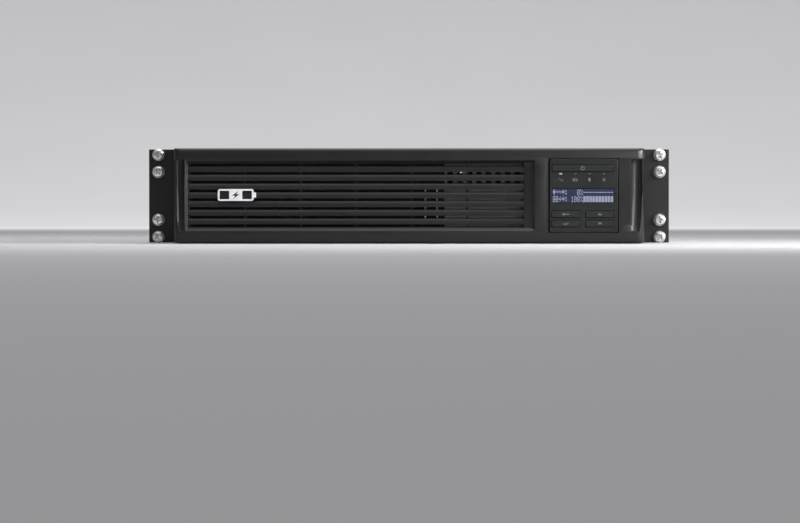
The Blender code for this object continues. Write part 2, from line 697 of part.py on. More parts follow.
def display_housing():
    """The display's box: a front wall with its openings, and four sides that reach the panel."""
    block = prisms([rounded(DISPLAY_X, DISPLAY_Z, 1.5)], "Y", HOUSING_FACE, DISPLAY_BACK)
    housing = finish("display_housing", block, "display_plastic")
    hollow_y = (HOUSING_FACE + 2, DISPLAY_BACK + 1)
    cut(housing, boxes((grown(DISPLAY_X, -1), hollow_y, grown(DISPLAY_Z, -1))))
    through = (HOUSING_FACE - 1, HOUSING_FACE + 3)
    openings = [(WINDOW_X, through, WINDOW_Z)]
    for xs, zs in KEYS.values():
        openings.append((grown(xs, KEY_CLEARANCE), through, grown(zs, KEY_CLEARANCE)))
    for x in LIGHT_XS:
        xs, zs = around((x, LIGHT_Z), *LIGHT_SIZE)
        openings.append((xs, through, zs))
    cut(housing, boxes(*openings))


def display_window():
    """The clear cover over the liquid-crystal panel, flush with the housing."""
    pane = (grown(WINDOW_X, -GAP), (HOUSING_FACE + 0.2, HOUSING_FACE + 2.6), grown(WINDOW_Z, -GAP))
    window = box_object("display_window", "window", *pane)
    flange_y = (HOUSING_FACE + 2.3, HOUSING_FACE + 3.2)
    unite(window, boxes((grown(WINDOW_X, KEY_FLANGE), flange_y, grown(WINDOW_Z, KEY_FLANGE))))


def lcd_module():
    """The liquid-crystal panel on its carrier, between the window and the board."""
    face = HOUSING_FACE + 3.6
    lcd = box_object("lcd_module", "lcd", grown(WINDOW_X, 0.5), (face, face + 3), grown(WINDOW_Z, 1.5))
    unite(lcd, boxes((WINDOW_X, (face + 2.5, BOARD_Y[0] - GAP), grown(WINDOW_Z, 1))))


def display_board():
    """The display's circuit board, with a small switch behind each key and the cable's socket."""
    board = box_object("display_board", "circuit_board", grown(DISPLAY_X, -2), BOARD_Y, grown(DISPLAY_Z, -2))
    switches = []
    for xs, zs in KEYS.values():
        middle = sum(xs) / 2
        switches.append(((middle - 2.5, middle + 2.5), (BOARD_Y[0] - 1.6, BOARD_Y[0] + 0.2), grown(zs, -0.8)))
    socket = (RIBBON_SOCKET_X, (BOARD_Y[1] - 0.2, BOARD_Y[1] + 5), RIBBON_SOCKET_Z)
    unite(board, boxes(*switches, socket))


def status_light_pipe():
    """Four clear prongs on one bar, which carry the board's lights to the front."""
    bar_x, bar_y = (LIGHT_XS[0] - 3, LIGHT_XS[-1] + 3), (HOUSING_FACE + 3.5, HOUSING_FACE + 5.5)
    bar = box_object("status_light_pipe", "light_pipe", bar_x, bar_y, (LIGHT_Z - 1.3, LIGHT_Z + 1.3))
    prongs = []
    for x in LIGHT_XS:
        xs, zs = around((x, LIGHT_Z), LIGHT_SIZE[0] - 0.6, LIGHT_SIZE[1] - 0.6)
        prongs.append((xs, (HOUSING_FACE + 0.1, HOUSING_FACE + 4), zs))
    unite(bar, boxes(*prongs))


def key(name, xs, zs):
    """A key: its cap in the housing's opening, a flange that keeps it in, and a stem to its switch."""
    middle = ((xs[0] + xs[1]) / 2, (zs[0] + zs[1]) / 2)
    pivot = (middle[0], KEY_FACE, middle[1])
    flange_y = HOUSING_FACE + 2 + 0.3
    bm = bmesh.new()
    add_prism(bm, rounded(xs, zs, 0.8, 2), "Y", KEY_FACE, flange_y + 0.5)
    cap = finish(name, bm, "key_plastic", pivot)
    unite(cap, boxes((grown(xs, KEY_FLANGE), (flange_y, flange_y + 1.2), grown(zs, KEY_FLANGE))))
    stem_x, stem_z = around(middle, 4, 3)
    unite(cap, boxes((stem_x, (flange_y + 0.8, BOARD_Y[0] - 2.6), stem_z)))


# ---------------------------------------------------------------- battery module


def battery_tray():
    """The open steel tray that carries the battery blocks."""
    tray = box_object("battery_tray", "zinc_steel", TRAY_X, TRAY_Y, TRAY_Z)
    cut(tray, boxes((grown(TRAY_X, -SHEET), grown(TRAY_Y, -SHEET), (TRAY_Z[0] + SHEET, TRAY_Z[1] + 1))))


def battery_plate():
    """The module's front plate, which closes the battery opening."""
    plate = box_object("battery_plate", "black_steel", PLATE_X, (PLATE_FRONT, PLATE_BACK), PLATE_Z)
    cut(plate, fastener_holes(PLATE_FRONT - 1, PLATE_BACK + 1))


def battery_block(name, corner):
    """A sealed lead-acid block on its side, with the step round its lid."""
    width, length, height = BATTERY_SIZE
    x, y, z = corner
    lid, step = x + width - 14.0, 0.8
    outline = [(x, y + step), (lid, y + step), (lid, y), (x + width, y), (x + width, y + length)]
    outline += [(lid, y + length), (lid, y + length - step), (x, y + length - step)]
    block = finish(name, prisms([outline], "Z", z, z + height), "battery_case")
    posts = []
    for end in (y + 14, y + length - 14):
        posts.append(((x + width - 4, x + width - 0.6), (end - 5, end + 5), (z + height - 9, z + height + 1)))
    cut(block, boxes(*posts))


def battery_blocks():
    width, length, _ = BATTERY_SIZE
    left, front, floor = TRAY_X[0] + SHEET + 0.8, TRAY_Y[0] + SHEET + 1.0, TRAY_Z[0] + SHEET + GAP
    number = 0
    for column in range(2):
        for row in range(2):
            number += 1
            x, y = left + column * (width + BATTERY_STEP), front + row * (length + BATTERY_STEP)
            battery_block(f"battery_block_{number}", (x, y, floor))


def battery_plug():
    """The module's power plug: a block behind the tray with two round pins."""
    ys = (TRAY_Y[1] + GAP, TRAY_Y[1] + 9.3)
    plug = box_object("battery_plug", "connector_grey", PLUG_X, ys, PLUG_Z)
    pins = bmesh.new()
    for x in PIN_XS:
        profile = [(0, -1), (PIN_RADIUS, -1), (PIN_RADIUS, 12), (PIN_RADIUS - 1, 14), (0, 14)]
        add_lathe(pins, profile, (x, ys[1], PIN_Z), sides=12)
    unite(plug, pins)


def tray_handle():
    """A bright steel channel on the plate, its two flanges forward, for pulling the module."""
    back, front = PLATE_FRONT - GAP, PLATE_FRONT - 10
    outline = [
        (LATCH_X[0], front),
        (LATCH_X[0] + SHEET, front),
        (LATCH_X[0] + SHEET, back - SHEET),
        (LATCH_X[1] - SHEET, back - SHEET),
        (LATCH_X[1] - SHEET, front),
        (LATCH_X[1], front),
        (LATCH_X[1], back),
        (LATCH_X[0], back),
    ]
    finish("tray_handle", prisms([outline], "Z", *LATCH_Z), "nickel")


def plate_fastener(name, centre):
    """A quarter-turn fastener: a slotted head in front of the plate and a stud through it."""
    seat = PLATE_FRONT - GAP
    profile = [(0, -4), (3.8, -4), (4.6, -3.2), (4.6, 0), (2.1, 0), (2.1, 7.2), (1.3, 8), (0, 8)]
    bm = bmesh.new()
    add_lathe(bm, profile, (centre[0], seat, centre[1]), sides=14)
    fastener = finish(name, bm, "nickel", (centre[0], seat, centre[1]))
    slot_x, slot_z = around(centre, 12, 1.2)
    cut(fastener, boxes((slot_x, (seat - 5, seat - 2.6), slot_z)))


# ---------------------------------------------------------------- electronics


def battery_socket():
    """The chassis half of the power connector, behind the bay's back wall."""
    ys = (BAY_BACK + SHEET + GAP, BAY_BACK + SHEET + 18)
    socket = box_object("battery_socket", "connector_grey", grown(PLUG_X, 4), ys, grown(PLUG_Z, 4))
    holes = bmesh.new()
    for x in PIN_XS:
        add_cylinder(holes, (x, ys[0], PIN_Z), PIN_RADIUS + 0.9, -1, 13, sides=12)
    cut(socket, holes)


def battery_cable(name, look_name, start_x, end_y):
    """A power lead from the socket, round the end of the divider, to the main board's terminals."""
    start_y = BAY_BACK + SHEET + 18 + 2 * GAP
    route = [(start_x, start_y, PIN_Z), (start_x, start_y + 14, PIN_Z), (start_x + 12, end_y - 4, PIN_Z - 4)]
    route += [(30, end_y, 22), (42, end_y, 22), (51, end_y, 22)]
    curve = bpy.data.curves.new(name, "CURVE")
    curve.dimensions = "3D"
    curve.bevel_depth = 2.8 * MM
    curve.bevel_resolution = 2
    curve.use_fill_caps = True
    spline = curve.splines.new("POLY")
    points = smooth_route(route, 4)
    spline.points.add(len(points) - 1)
    for spot, point in zip(spline.points, points):
        spot.co = (*(Vector(point) * MM), 1)
    curve.materials.append(look(look_name))
    obj = bpy.data.objects.new(name, curve)
    bpy.context.scene.collection.objects.link(obj)


def smooth_route(route, steps):
    """Points along a Catmull-Rom curve through the route's own points."""
    ends = [route[0], *route, route[-1]]
    points = []
    for a, b, c, d in zip(ends, ends[1:], ends[2:], ends[3:]):
        for i in range(steps):
            t = i / steps
            point = []
            for p, q, r, s in zip(a, b, c, d):
                cubic = (3 * q - p - 3 * r + s) * t**3 + (2 * p - 5 * q + 4 * r - s) * t**2 + (r - p) * t
                point.append(q + cubic / 2)
            points.append(point)
    return points + [route[-1]]


def transformer():
    """The power transformer: a stack of laminations with two windows, and the winding through them."""
    core = box_object("transformer_core", "core_steel", CORE_X, CORE_Y, CORE_Z)
    through = (CORE_Y[0] - 1, CORE_Y[1] + 1)
    centre = (CORE_X[0] + CORE_X[1]) / 2
    window_z = (CORE_Z[0] + CORE_LEG, CORE_Z[1] - CORE_LEG)
    left = (CORE_X[0] + CORE_LEG, centre - CORE_LEG)
    right = (centre + CORE_LEG, CORE_X[1] - CORE_LEG)
    cut(core, boxes((left, through, window_z), (right, through, window_z)))
    coil_z = (window_z[0] + 1, window_z[1] - 1)
    outer_x, outer_y = (left[0] + 1, right[1] - 1), (CORE_Y[0] - COIL_BUILD, CORE_Y[1] + COIL_BUILD)
    coil = finish("transformer_coil", prisms([rounded(outer_x, outer_y, 8)], "Z", *coil_z), "copper")
    hole_x, hole_y = (left[1] - 0.5, right[0] + 0.5), (CORE_Y[0] - 0.5, CORE_Y[1] + 0.5)
    cut(coil, boxes((hole_x, hole_y, (coil_z[0] - 1, coil_z[1] + 1))))


def main_board():
    """The main circuit board on its studs, with its terminals, relays and small transformer."""
    board = box_object("main_board", "circuit_board", BOARD_X, MAIN_BOARD_Y, MAIN_BOARD_Z)
    low, top = MAIN_BOARD_Z
    studs = bmesh.new()
    for x in (BOARD_X[0] + 6, BOARD_X[1] - 6):
        for y in (MAIN_BOARD_Y[0] + 6, (MAIN_BOARD_Y[0] + MAIN_BOARD_Y[1]) / 2, MAIN_BOARD_Y[1] - 6):
            add_cylinder(studs, (x, y, 0), 3, SHEET + GAP, low + 0.4, axis="Z", sides=8)
    unite(board, studs)
    relays = [((150, 166), (y, y + 28), (top - 0.2, top + 16)) for y in (20, 54, 88)]
    terminals = ((54, 74), (150, 192), (top - 0.2, top + 20))
    small_transformer = ((96, 128), (-50, -18), (top - 0.2, top + 28))
    ribbon_socket = ((184, 198), (-60, -54), (top - 0.2, top + 12))
    unite(board, boxes(*relays, terminals, small_transformer, ribbon_socket))


def heatsink(name, base_x, side):
    """A finned aluminium extrusion that stands on the main board."""
    base, reach, fin, height = 4.0, 18.0, 1.6, 52.0
    low = MAIN_BOARD_Z[1] + 0.4
    outline = [(0, height), (0, 0), (reach, 0), (reach, fin), (base, fin)]
    for i in range(1, 6):
        z = (height - fin) * i / 6
        outline += [(base, z), (reach, z), (reach, z + fin), (base, z + fin)]
    outline += [(base, height - fin), (reach, height - fin), (reach, height)]
    outline = [(base_x + side * u, low + v) for u, v in outline]
    finish(name, prisms([outline], "Y", -40, 140), "aluminium")


def capacitor(name, centre):
    """A bulk capacitor's can, standing on the main board."""
    bottom, height, radius = MAIN_BOARD_Z[1] + 0.4, 45.0, 15.0
    profile = [(0, 0), (radius - 1, 0), (radius, 1), (radius, height - 1.5), (radius - 1.5, height)]
    bm = bmesh.new()
    add_lathe(bm, [*profile, (0, height)], (*centre, bottom), "Z", 18)
    finish(name, bm, "black_wire")


def display_ribbon_cable():
    """The flat cable from the display's board, past the transformer, to the main board."""
    half = 0.5
    front = BOARD_Y[1] + 5 + GAP
    path = [(183, front), (183, -204), (187, -199.5), (199, -196), (203.5, -190), (203.5, -72), (200, -66)]
    path.append((194, MAIN_BOARD_Y[0] + 1 - GAP))
    left, right = [], []
    for i, (x, y) in enumerate(path):
        before, after = Vector(path[max(i - 1, 0)]), Vector(path[min(i + 1, len(path) - 1)])
        across = (after - before).normalized()
        left.append((x - across.y * half, y + across.x * half))
        right.append((x + across.y * half, y - across.x * half))
    finish("display_ribbon_cable", prisms([left + right[::-1]], "Z", 33, 51), "ribbon")


# ---------------------------------------------------------------- rear


def fan_housing(name, fan_x):
    """A square fan frame with its bore, and the motor's seat on four arms at the back."""
    xs, zs = around((fan_x, FAN_Z), FAN_SIZE)
    ys = (INSIDE_BACK - FAN_DEPTH, INSIDE_BACK)
    frame = finish(name, prisms([rounded(xs, zs, 4, 2)], "Y", *ys), "fan_plastic")
    bore = bmesh.new()
    add_cylinder(bore, (fan_x, 0, FAN_Z), FAN_BORE, ys[0] - 1, ys[1] + 1, sides=32)
    cut(frame, bore)
    corners = bmesh.new()
    for dx in (-35.75, 35.75):
        for dz in (-35.75, 35.75):
            add_cylinder(corners, (fan_x + dx, 0, FAN_Z + dz), 2.1, ys[0] - 1, ys[1] + 1, sides=8)
    cut(frame, corners)
    arm_y = (ys[1] - 3.5, ys[1] - 0.4)
    arms = []
    for quarter in range(4):
        turn = math.radians(45 + 90 * quarter)
        along = Vector((math.cos(turn), math.sin(turn)))
        across = Vector((-along.y, along.x))
        outline = []
        for reach, side in ((14, -1.6), (FAN_BORE + 1.5, -1.6), (FAN_BORE + 1.5, 1.6), (14, 1.6)):
            spot = along * reach + across * side
            outline.append((fan_x + spot.x, FAN_Z + spot.y))
        arms.append(outline)
    unite(frame, prisms(arms, "Y", *arm_y))
    seat = bmesh.new()
    add_cylinder(seat, (fan_x, 0, FAN_Z), 17, arm_y[0] + 0.05, arm_y[1] - 0.05, sides=20)
    unite(frame, seat)


def fan_rotor(name, fan_x):
    """The fan's hub and its twisted blades, turning about Y."""
    low, high = INSIDE_BACK - FAN_DEPTH + 1.5, INSIDE_BACK - 4.2
    pivot = (fan_x, (low + high) / 2, FAN_Z)
    hub = bmesh.new()
    profile = [(0, low), (15, low), (17.5, low + 2.5), (17.5, high), (0, high)]
    add_lathe(hub, profile, (fan_x, 0, FAN_Z), sides=20)
    rotor = finish(name, hub, "fan_plastic", pivot)
    blades = bmesh.new()
    front, back = (low + 1.5, -17), (high - 1.5, 11)
    corners = [(*front, 0), (*front, 1), (*back, 1), (*back, 0)]
    for number in range(FAN_BLADES):
        loops = []
        for radius, sweep in ((15.5, 0.0), (26.0, 6.0), (35.8, 13.0)):
            loop = []
            for y, lead, thick in corners:
                turn = math.radians(360 * number / FAN_BLADES + lead + sweep + thick * 60 / radius)
                loop.append((fan_x + radius * math.cos(turn), y, FAN_Z + radius * math.sin(turn)))
            loops.append(loop)
        add_loft(blades, loops)
    unite(rotor, blades)


def outlet_outline(centre, width, height, chamfer):
    """A mains outlet's face: a rectangle with its two lower corners cut off."""
    (x0, x1), (z0, z1) = around(centre, width, height)
    left = [(x0, z1), (x0, z0 + chamfer), (x0 + chamfer, z0)]
    return left + [(x1 - chamfer, z0), (x1, z0 + chamfer), (x1, z1)]


def outlet_bank(name, xs):
    """A moulded block of four mains outlets, its flange on the outside of the rear panel."""
    flange_y = (REAR_FACE + GAP, DEPTH / 2)
    bank = finish(name, prisms([rounded(xs, OUTLET_Z, 2)], "Y", *flange_y), "connector")
    unite(bank, boxes((grown(xs, -3), (REAR_FACE - 22, flange_y[0] + 0.5), grown(OUTLET_Z, -3))))
    middle = ((xs[0] + xs[1]) / 2, (OUTLET_Z[0] + OUTLET_Z[1]) / 2)
    centres = [(middle[0] + dx, middle[1] + dz) for dx, dz in OUTLET_OFFSETS]
    hollows = [outlet_outline(centre, 25, 19, 5) for centre in centres]
    cut(bank, prisms(hollows, "Y", REAR_FACE - 15, DEPTH / 2 + 1))
    islands = [outlet_outline(centre, 19.6, 13.6, 3.4) for centre in centres]
    unite(bank, prisms(islands, "Y", REAR_FACE - 16, DEPTH / 2 - 0.8))
    slots = []
    for x, z in centres:
        for dx, dz in ((-7, -1.5), (7, -1.5), (0, 2.5)):
            slot_x, slot_z = around((x + dx, z + dz), 2.4, 4.4)
            slots.append((slot_x, (REAR_FACE - 12, DEPTH / 2), slot_z))
    cut(bank, boxes(*slots))


def ac_inlet():
    """The mains inlet: a flanged socket with three flat pins inside."""
    xs, zs = around(INLET_CENTRE, 34, 28)
    flange = prisms([rounded(xs, zs, 2)], "Y", REAR_FACE + GAP, REAR_FACE + 2.6)
    inlet = finish("ac_inlet", flange, "connector")
    body_x, body_z = around(INLET_CENTRE, 28, 22)
    unite(inlet, boxes((body_x, (REAR_FACE - 22, REAR_FACE + 0.8), body_z)))
    cut(inlet, prisms([outlet_outline(INLET_CENTRE, 24.6, 18.6, 5)], "Y", REAR_FACE - 17, REAR_FACE + 4))
    pins = []
    for dx, dz in ((-7, -1.5), (7, -1.5), (0, 3.5)):
        pin_x, pin_z = around((INLET_CENTRE[0] + dx, INLET_CENTRE[1] + dz), 2, 4)
        pins.append((pin_x, (REAR_FACE - 18, REAR_FACE - 1), pin_z))
    unite(inlet, boxes(*pins))


def breaker():
    """The resettable breaker: a body with a round bushing, and the button that slides in it."""
    x, z = BREAKER_CENTRE
    xs, zs = around(BREAKER_CENTRE, 16, 26)
    body = box_object("breaker_body", "connector", xs, (REAR_INNER - 30, REAR_INNER - GAP), zs)
    bushing = bmesh.new()
    profile = [(0, -1), (6, -1), (6, 1.6), (8, 1.6), (8, 2.6), (7, 3.4), (0, 3.4)]
    add_lathe(bushing, profile, (x, REAR_INNER, z), sides=18)
    unite(body, bushing)
    bore = bmesh.new()
    add_cylinder(bore, (x, REAR_INNER, z), BREAKER_BUTTON_RADIUS + 0.4, -16, 6, sides=16)
    cut(body, bore)
    top = DEPTH / 2 - REAR_INNER
    bm = bmesh.new()
    radius = BREAKER_BUTTON_RADIUS
    profile = [(0, -12), (radius, -12), (radius, top - 0.8), (radius - 0.8, top), (0, top)]
    add_lathe(bm, profile, (x, REAR_INNER, z), sides=16)
    finish("breaker_button", bm, "connector_grey", (x, REAR_INNER, z))


def accessory_slot_cover():
    """The blank plate over the empty accessory slot, with a lip to pull it by."""
    ys = (REAR_FACE + GAP, REAR_FACE + GAP + SHEET)
    plate = prisms([rounded(SLOT_COVER_X, SLOT_COVER_Z, 1.5)], "Y", *ys)
    cover = finish("accessory_slot_cover", plate, "black_steel")
    middle = sum(SLOT_COVER_X) / 2
    lip_z = (SLOT_COVER_Z[0] + 3, SLOT_COVER_Z[0] + 4.2)
    unite(cover, boxes(((middle - 8, middle + 8), (ys[0] + 0.4, ys[1] + 1.4), lip_z)))


def data_ports():
    """The network and USB sockets in one shielded block."""
    ports = box_object("data_ports", "zinc_steel", PORTS_X, (REAR_FACE - 18, REAR_FACE + 1), PORTS_Z)
    depth = (REAR_FACE - 13, REAR_FACE + 2)
    cut(ports, boxes(*[(xs, depth, grown(PORTS_Z, -4)) for xs in (NETWORK_PORT_X, USB_PORT_X)]))
    unite(ports, boxes((grown(USB_PORT_X, -2.2), (REAR_FACE - 14, REAR_FACE - 1), grown(PORTS_Z, -7))))


# ---------------------------------------------------------------- assembly


def main():
    clear_scene()
    chassis_pan()
    top_cover()
    front_panel()
    rear_panel()
    bay_divider()
    rack_ear("rack_ear_left", -1)
    rack_ear("rack_ear_right", 1)
    rack_screws()
    bezel_frame()
    bezel_louvres()
    bezel_badge()
    display_housing()
    display_window()
    lcd_module()
    display_board()
    status_light_pipe()
    for name, (xs, zs) in KEYS.items():
        key(name, xs, zs)
    battery_tray()
    battery_plate()
    battery_blocks()
    battery_plug()
    tray_handle()
    for side, centre in FASTENERS.items():
        plate_fastener(f"plate_fastener_{side}", centre)
    battery_socket()
    battery_cable("battery_cable_positive", "red_wire", PIN_XS[1], 158)
    battery_cable("battery_cable_negative", "black_wire", PIN_XS[0], 172)
    transformer()
    main_board()
    heatsink("heatsink_left", BOARD_X[0] + 4, 1)
    heatsink("heatsink_right", BOARD_X[1] - 4, -1)
    capacitor("bulk_capacitor_1", (98, 48))
    capacitor("bulk_capacitor_2", (98, 86))
    display_ribbon_cable()
    for side, fan_x in FAN_XS.items():
        fan_housing(f"fan_housing_{side}", fan_x)
        fan_rotor(f"fan_rotor_{side}", fan_x)
    for side, xs in OUTLET_BANKS.items():
        outlet_bank(f"outlet_bank_{side}", xs)
    ac_inlet()
    breaker()
    accessory_slot_cover()
    data_ports()


main()
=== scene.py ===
"""The looks of a rack-mount uninterruptible power supply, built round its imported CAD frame.

Shapes are made in millimetres, and to_mesh() turns them into metres. X runs to the right of
someone who faces the front, Y to the back and Z up. Most places come from the CAD nodes' boxes.
"""

import json
import math

import bmesh
import bpy
from mathutils import Matrix, Vector


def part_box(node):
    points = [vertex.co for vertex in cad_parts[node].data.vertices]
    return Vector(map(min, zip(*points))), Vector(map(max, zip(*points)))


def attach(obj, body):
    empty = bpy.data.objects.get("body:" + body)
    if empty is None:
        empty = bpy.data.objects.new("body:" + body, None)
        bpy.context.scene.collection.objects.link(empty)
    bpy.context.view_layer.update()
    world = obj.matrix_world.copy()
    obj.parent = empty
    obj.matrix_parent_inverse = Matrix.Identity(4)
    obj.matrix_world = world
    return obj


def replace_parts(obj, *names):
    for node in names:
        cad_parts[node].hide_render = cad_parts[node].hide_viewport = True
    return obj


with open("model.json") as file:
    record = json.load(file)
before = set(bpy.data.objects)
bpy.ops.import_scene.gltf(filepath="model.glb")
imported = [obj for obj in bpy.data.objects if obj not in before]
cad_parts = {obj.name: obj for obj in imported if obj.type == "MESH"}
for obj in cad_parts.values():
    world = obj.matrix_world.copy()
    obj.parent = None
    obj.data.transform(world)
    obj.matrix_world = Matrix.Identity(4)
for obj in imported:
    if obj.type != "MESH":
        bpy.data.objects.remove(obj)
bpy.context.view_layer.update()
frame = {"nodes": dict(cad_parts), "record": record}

MM = 0.001
AXES = {"X": (1, 2, 0), "Y": (0, 2, 1), "Z": (0, 1, 2)}

# The view, in metres: a long lens in front of the ears, low and a little left of the middle, which
# looks slightly down at a point below the unit.
CAMERA_DISTANCE = 2.6
CAMERA_HEIGHT = 0.022
CAMERA_X = -0.00836
AIM_BELOW_MIDDLE = 0.0608
LENS_MM = 126.0
SENSOR_WIDTH_MM = 36.0

# In millimetres.
LIGHT_PITCH = 13.2
RACK_SCREW_LENGTH = 14.2
EAR_LEG_FACE = 217.3
FAN_SCREW_OFFSET = 35.75
REAR_SCREW_COLUMNS = (-107, -37, 33.5)
OUTLET_OFFSETS = [(x, z) for x in (-15.5, 15.5) for z in (-15, 15)]
OUTLET_SLOTS = ((-7, -1.5), (7, -1.5), (0, 2.5))
INLET_PINS = ((-7, -1.5), (7, -1.5), (0, 3.5))
TRANSISTOR_DEPTH = 4.6
JUMPER_RISE = 7.6

WIRE_SIDES = 10
SIDES = {"left": -1, "right": 1}
KEY_NODES = ("power_button", "escape_key", "enter_key", "up_key", "down_key")


# ---------------------------------------------------------------- materials


class Look:
    """A material's node tree, with short ways to add what this scene uses."""

    def __init__(self, name, colour, roughness, metallic=0.0, specular=0.5):
        self.material = bpy.data.materials.new(name)
        self.material.use_nodes = True
        self.tree = self.material.node_tree
        self.shader = self.tree.nodes["Principled BSDF"]
        self.colour = colour
        self.roughness = roughness
        self.normal = None
        self.set("Base Color", (*colour, 1))
        self.set("Roughness", roughness)
        self.set("Metallic", metallic)
        self.set("Specular IOR Level", specular)

    def set(self, socket, value):
        self.shader.inputs[socket].default_value = value
        return self

    def node(self, kind, **values):
        """A new node with some of its sockets or settings given."""
        made = self.tree.nodes.new(kind)
        for key, value in values.items():
            if key in made.inputs:
                made.inputs[key].default_value = value
            else:
                setattr(made, key, value)
        return made

    def link(self, start, end):
        self.tree.links.new(start, end)

    def place(self, stretch=(1, 1, 1)):
        """Object coordinates in metres, stretched along each axis."""
        coordinates = self.node("ShaderNodeTexCoord")
        mapping = self.node("ShaderNodeMapping", Scale=stretch)
        self.link(coordinates.outputs["Object"], mapping.inputs["Vector"])
        return mapping.outputs["Vector"]

    def noise(self, size, detail=2.0, stretch=(1, 1, 1)):
        """Noise whose features are about the given size in metres."""
        made = self.node("ShaderNodeTexNoise", Scale=1 / size, Detail=detail, Roughness=0.55)
        self.link(self.place(stretch), made.inputs["Vector"])
        return made.outputs["Fac"]

    def ranged(self, value, low, high, from_low=0.3, from_high=0.7):
        """A value that lies mostly between the two froms, brought to between low and high."""
        made = self.node("ShaderNodeMapRange")
        made.inputs["From Min"].default_value = from_low
        made.inputs["From Max"].default_value = from_high
        made.inputs["To Min"].default_value = low
        made.inputs["To Max"].default_value = high
        self.link(value, made.inputs["Value"])
        return made.outputs["Result"]

    def shaded(self, share):
        """The base colour times a share that varies over the surface."""
        scaled = self.node("ShaderNodeVectorMath", operation="SCALE")
        scaled.inputs[0].default_value = self.colour
        self.link(share, scaled.inputs["Scale"])
        self.link(scaled.outputs["Vector"], self.shader.inputs["Base Color"])
        return self

    def mottled(self, size, amount):
        """The colour varies slowly between a little darker and a little lighter."""
        return self.shaded(self.ranged(self.noise(size, 3), 1 - amount, 1 + amount))

    def worn(self, size, amount, stretch=(1, 1, 1)):
        """The roughness varies, as handling and dust leave it."""
        low, high = self.roughness - amount, self.roughness + amount
        self.link(self.ranged(self.noise(size, 4, stretch), low, high), self.shader.inputs["Roughness"])
        return self

    def bump(self, value, depth):
        """Adds relief of a depth in metres to the relief so far."""
        made = self.node("ShaderNodeBump", Distance=depth, Strength=1.0)
        self.link(value, made.inputs["Height"])
        if self.normal:
            self.link(self.normal, made.inputs["Normal"])
        self.normal = made.outputs["Normal"]
        self.link(self.normal, self.shader.inputs["Normal"])
        return self

    def grained(self, size, depth, stretch=(1, 1, 1)):
        return self.bump(self.noise(size, 2, stretch), depth)

    def banded(self, pitch, depth, direction):
        """Fine ridges across one axis, a pitch in metres apart."""
        wave = self.node("ShaderNodeTexWave", Scale=math.pi / 10 / pitch, bands_direction=direction)
        self.link(self.place(), wave.inputs["Vector"])
        return self.bump(wave.outputs["Fac"], depth)


def moulded(name, colour, roughness=0.42, specular=0.4):
    """Moulded plastic with a fine spark-eroded grain and slight unevenness."""
    made = Look(name, colour, roughness, specular=specular)
    return made.mottled(0.05, 0.07).worn(0.03, 0.05).grained(0.0011, 0.00003).material


def powder_coat(name, colour, roughness=0.5):
    """Powder coat with its orange-peel surface and a few rubbed places."""
    made = Look(name, colour, roughness, specular=0.35)
    return made.mottled(0.03, 0.05).worn(0.06, 0.025).grained(0.0016, 0.00005).material


def plated(name, colour, roughness):
    """Plated metal with faint marks of its rolling or turning."""
    made = Look(name, colour, roughness, metallic=1.0).mottled(0.02, 0.06)
    return made.worn(0.008, 0.07, (1, 1, 6)).grained(0.002, 0.00002, (0.1, 1, 1)).material


def zinc_plate(name, colour):
    """Galvanised sheet with its spangle."""
    made = Look(name, colour, 0.38, metallic=1.0)
    cells = made.node("ShaderNodeTexVoronoi", Scale=90.0)
    made.link(made.place(), cells.inputs["Vector"])
    made.shaded(made.ranged(cells.outputs["Color"], 0.86, 1.08, 0, 1))
    return made.worn(0.01, 0.06).grained(0.003, 0.00002).material


def glowing(name, colour, strength):
    """A lit surface, a little uneven as a backlight is."""
    made = Look(name, tuple(0.2 * c for c in colour), 0.25)
    made.set("Emission Color", (*colour, 1))
    level = made.ranged(made.noise(0.012), 0.9 * strength, 1.1 * strength)
    made.link(level, made.shader.inputs["Emission Strength"])
    return made.material


def printed(name, colour, roughness=0.5):
    """Printed ink, very slightly uneven."""
    made = Look(name, colour, roughness, specular=0.3)
    return made.mottled(0.004, 0.05).grained(0.0006, 0.00001).material


def circuit_board_look():
    """Green solder mask with the pattern of its tracks just showing."""
    made = Look("solder_mask", (0.015, 0.11, 0.05), 0.35)
    tracks = made.node("ShaderNodeTexBrick", Scale=260.0, offset=0.37)
    tracks.inputs["Mortar Size"].default_value = 0.06
    tracks.inputs["Color1"].default_value = (0.012, 0.10, 0.045, 1)
    tracks.inputs["Color2"].default_value = (0.016, 0.125, 0.055, 1)
    tracks.inputs["Mortar"].default_value = (0.03, 0.19, 0.09, 1)
    made.link(made.place(), tracks.inputs["Vector"])
    made.link(tracks.outputs["Color"], made.shader.inputs["Base Color"])
    return made.bump(tracks.outputs["Fac"], 0.00003).material


def wound_copper():
    """Enamelled copper wire, layer on layer, under varnish."""
    made = Look("wound_copper", (0.40, 0.14, 0.05), 0.3, metallic=0.85)
    return made.mottled(0.01, 0.15).banded(0.0014, 0.0004, "Z").material


def laminated_steel():
    """The edges of a core's laminations, with varnish between them."""
    made = Look("laminations", (0.11, 0.105, 0.10), 0.5, metallic=0.6)
    return made.mottled(0.006, 0.25).banded(0.0012, 0.0002, "Y").material


def extruded_aluminium():
    """Plain aluminium with the fine lines of its die along its length."""
    made = Look("extruded_aluminium", (0.45, 0.455, 0.46), 0.38, metallic=1.0)
    return made.mottled(0.01, 0.05).worn(0.01, 0.07).grained(0.0012, 0.00003, (1, 0.04, 1)).material


def flat_cable():
    """Grey ribbon cable, with its wires side by side."""
    made = Look("ribbon_insulation", (0.32, 0.33, 0.35), 0.5)
    return made.mottled(0.02, 0.05).banded(0.00127, 0.0004, "Z").material


def clear_lens():
    """The water-clear plastic of an unlit lens."""
    return Look("light_pipe", (0.06, 0.065, 0.062), 0.25).mottled(0.003, 0.1).worn(0.004, 0.05).material


def smoked_window():
    """The glossy, nearly black cover round the lit panel."""
    return Look("smoked_window", (0.010, 0.013, 0.020), 0.10).mottled(0.02, 0.05).worn(0.02, 0.03).material


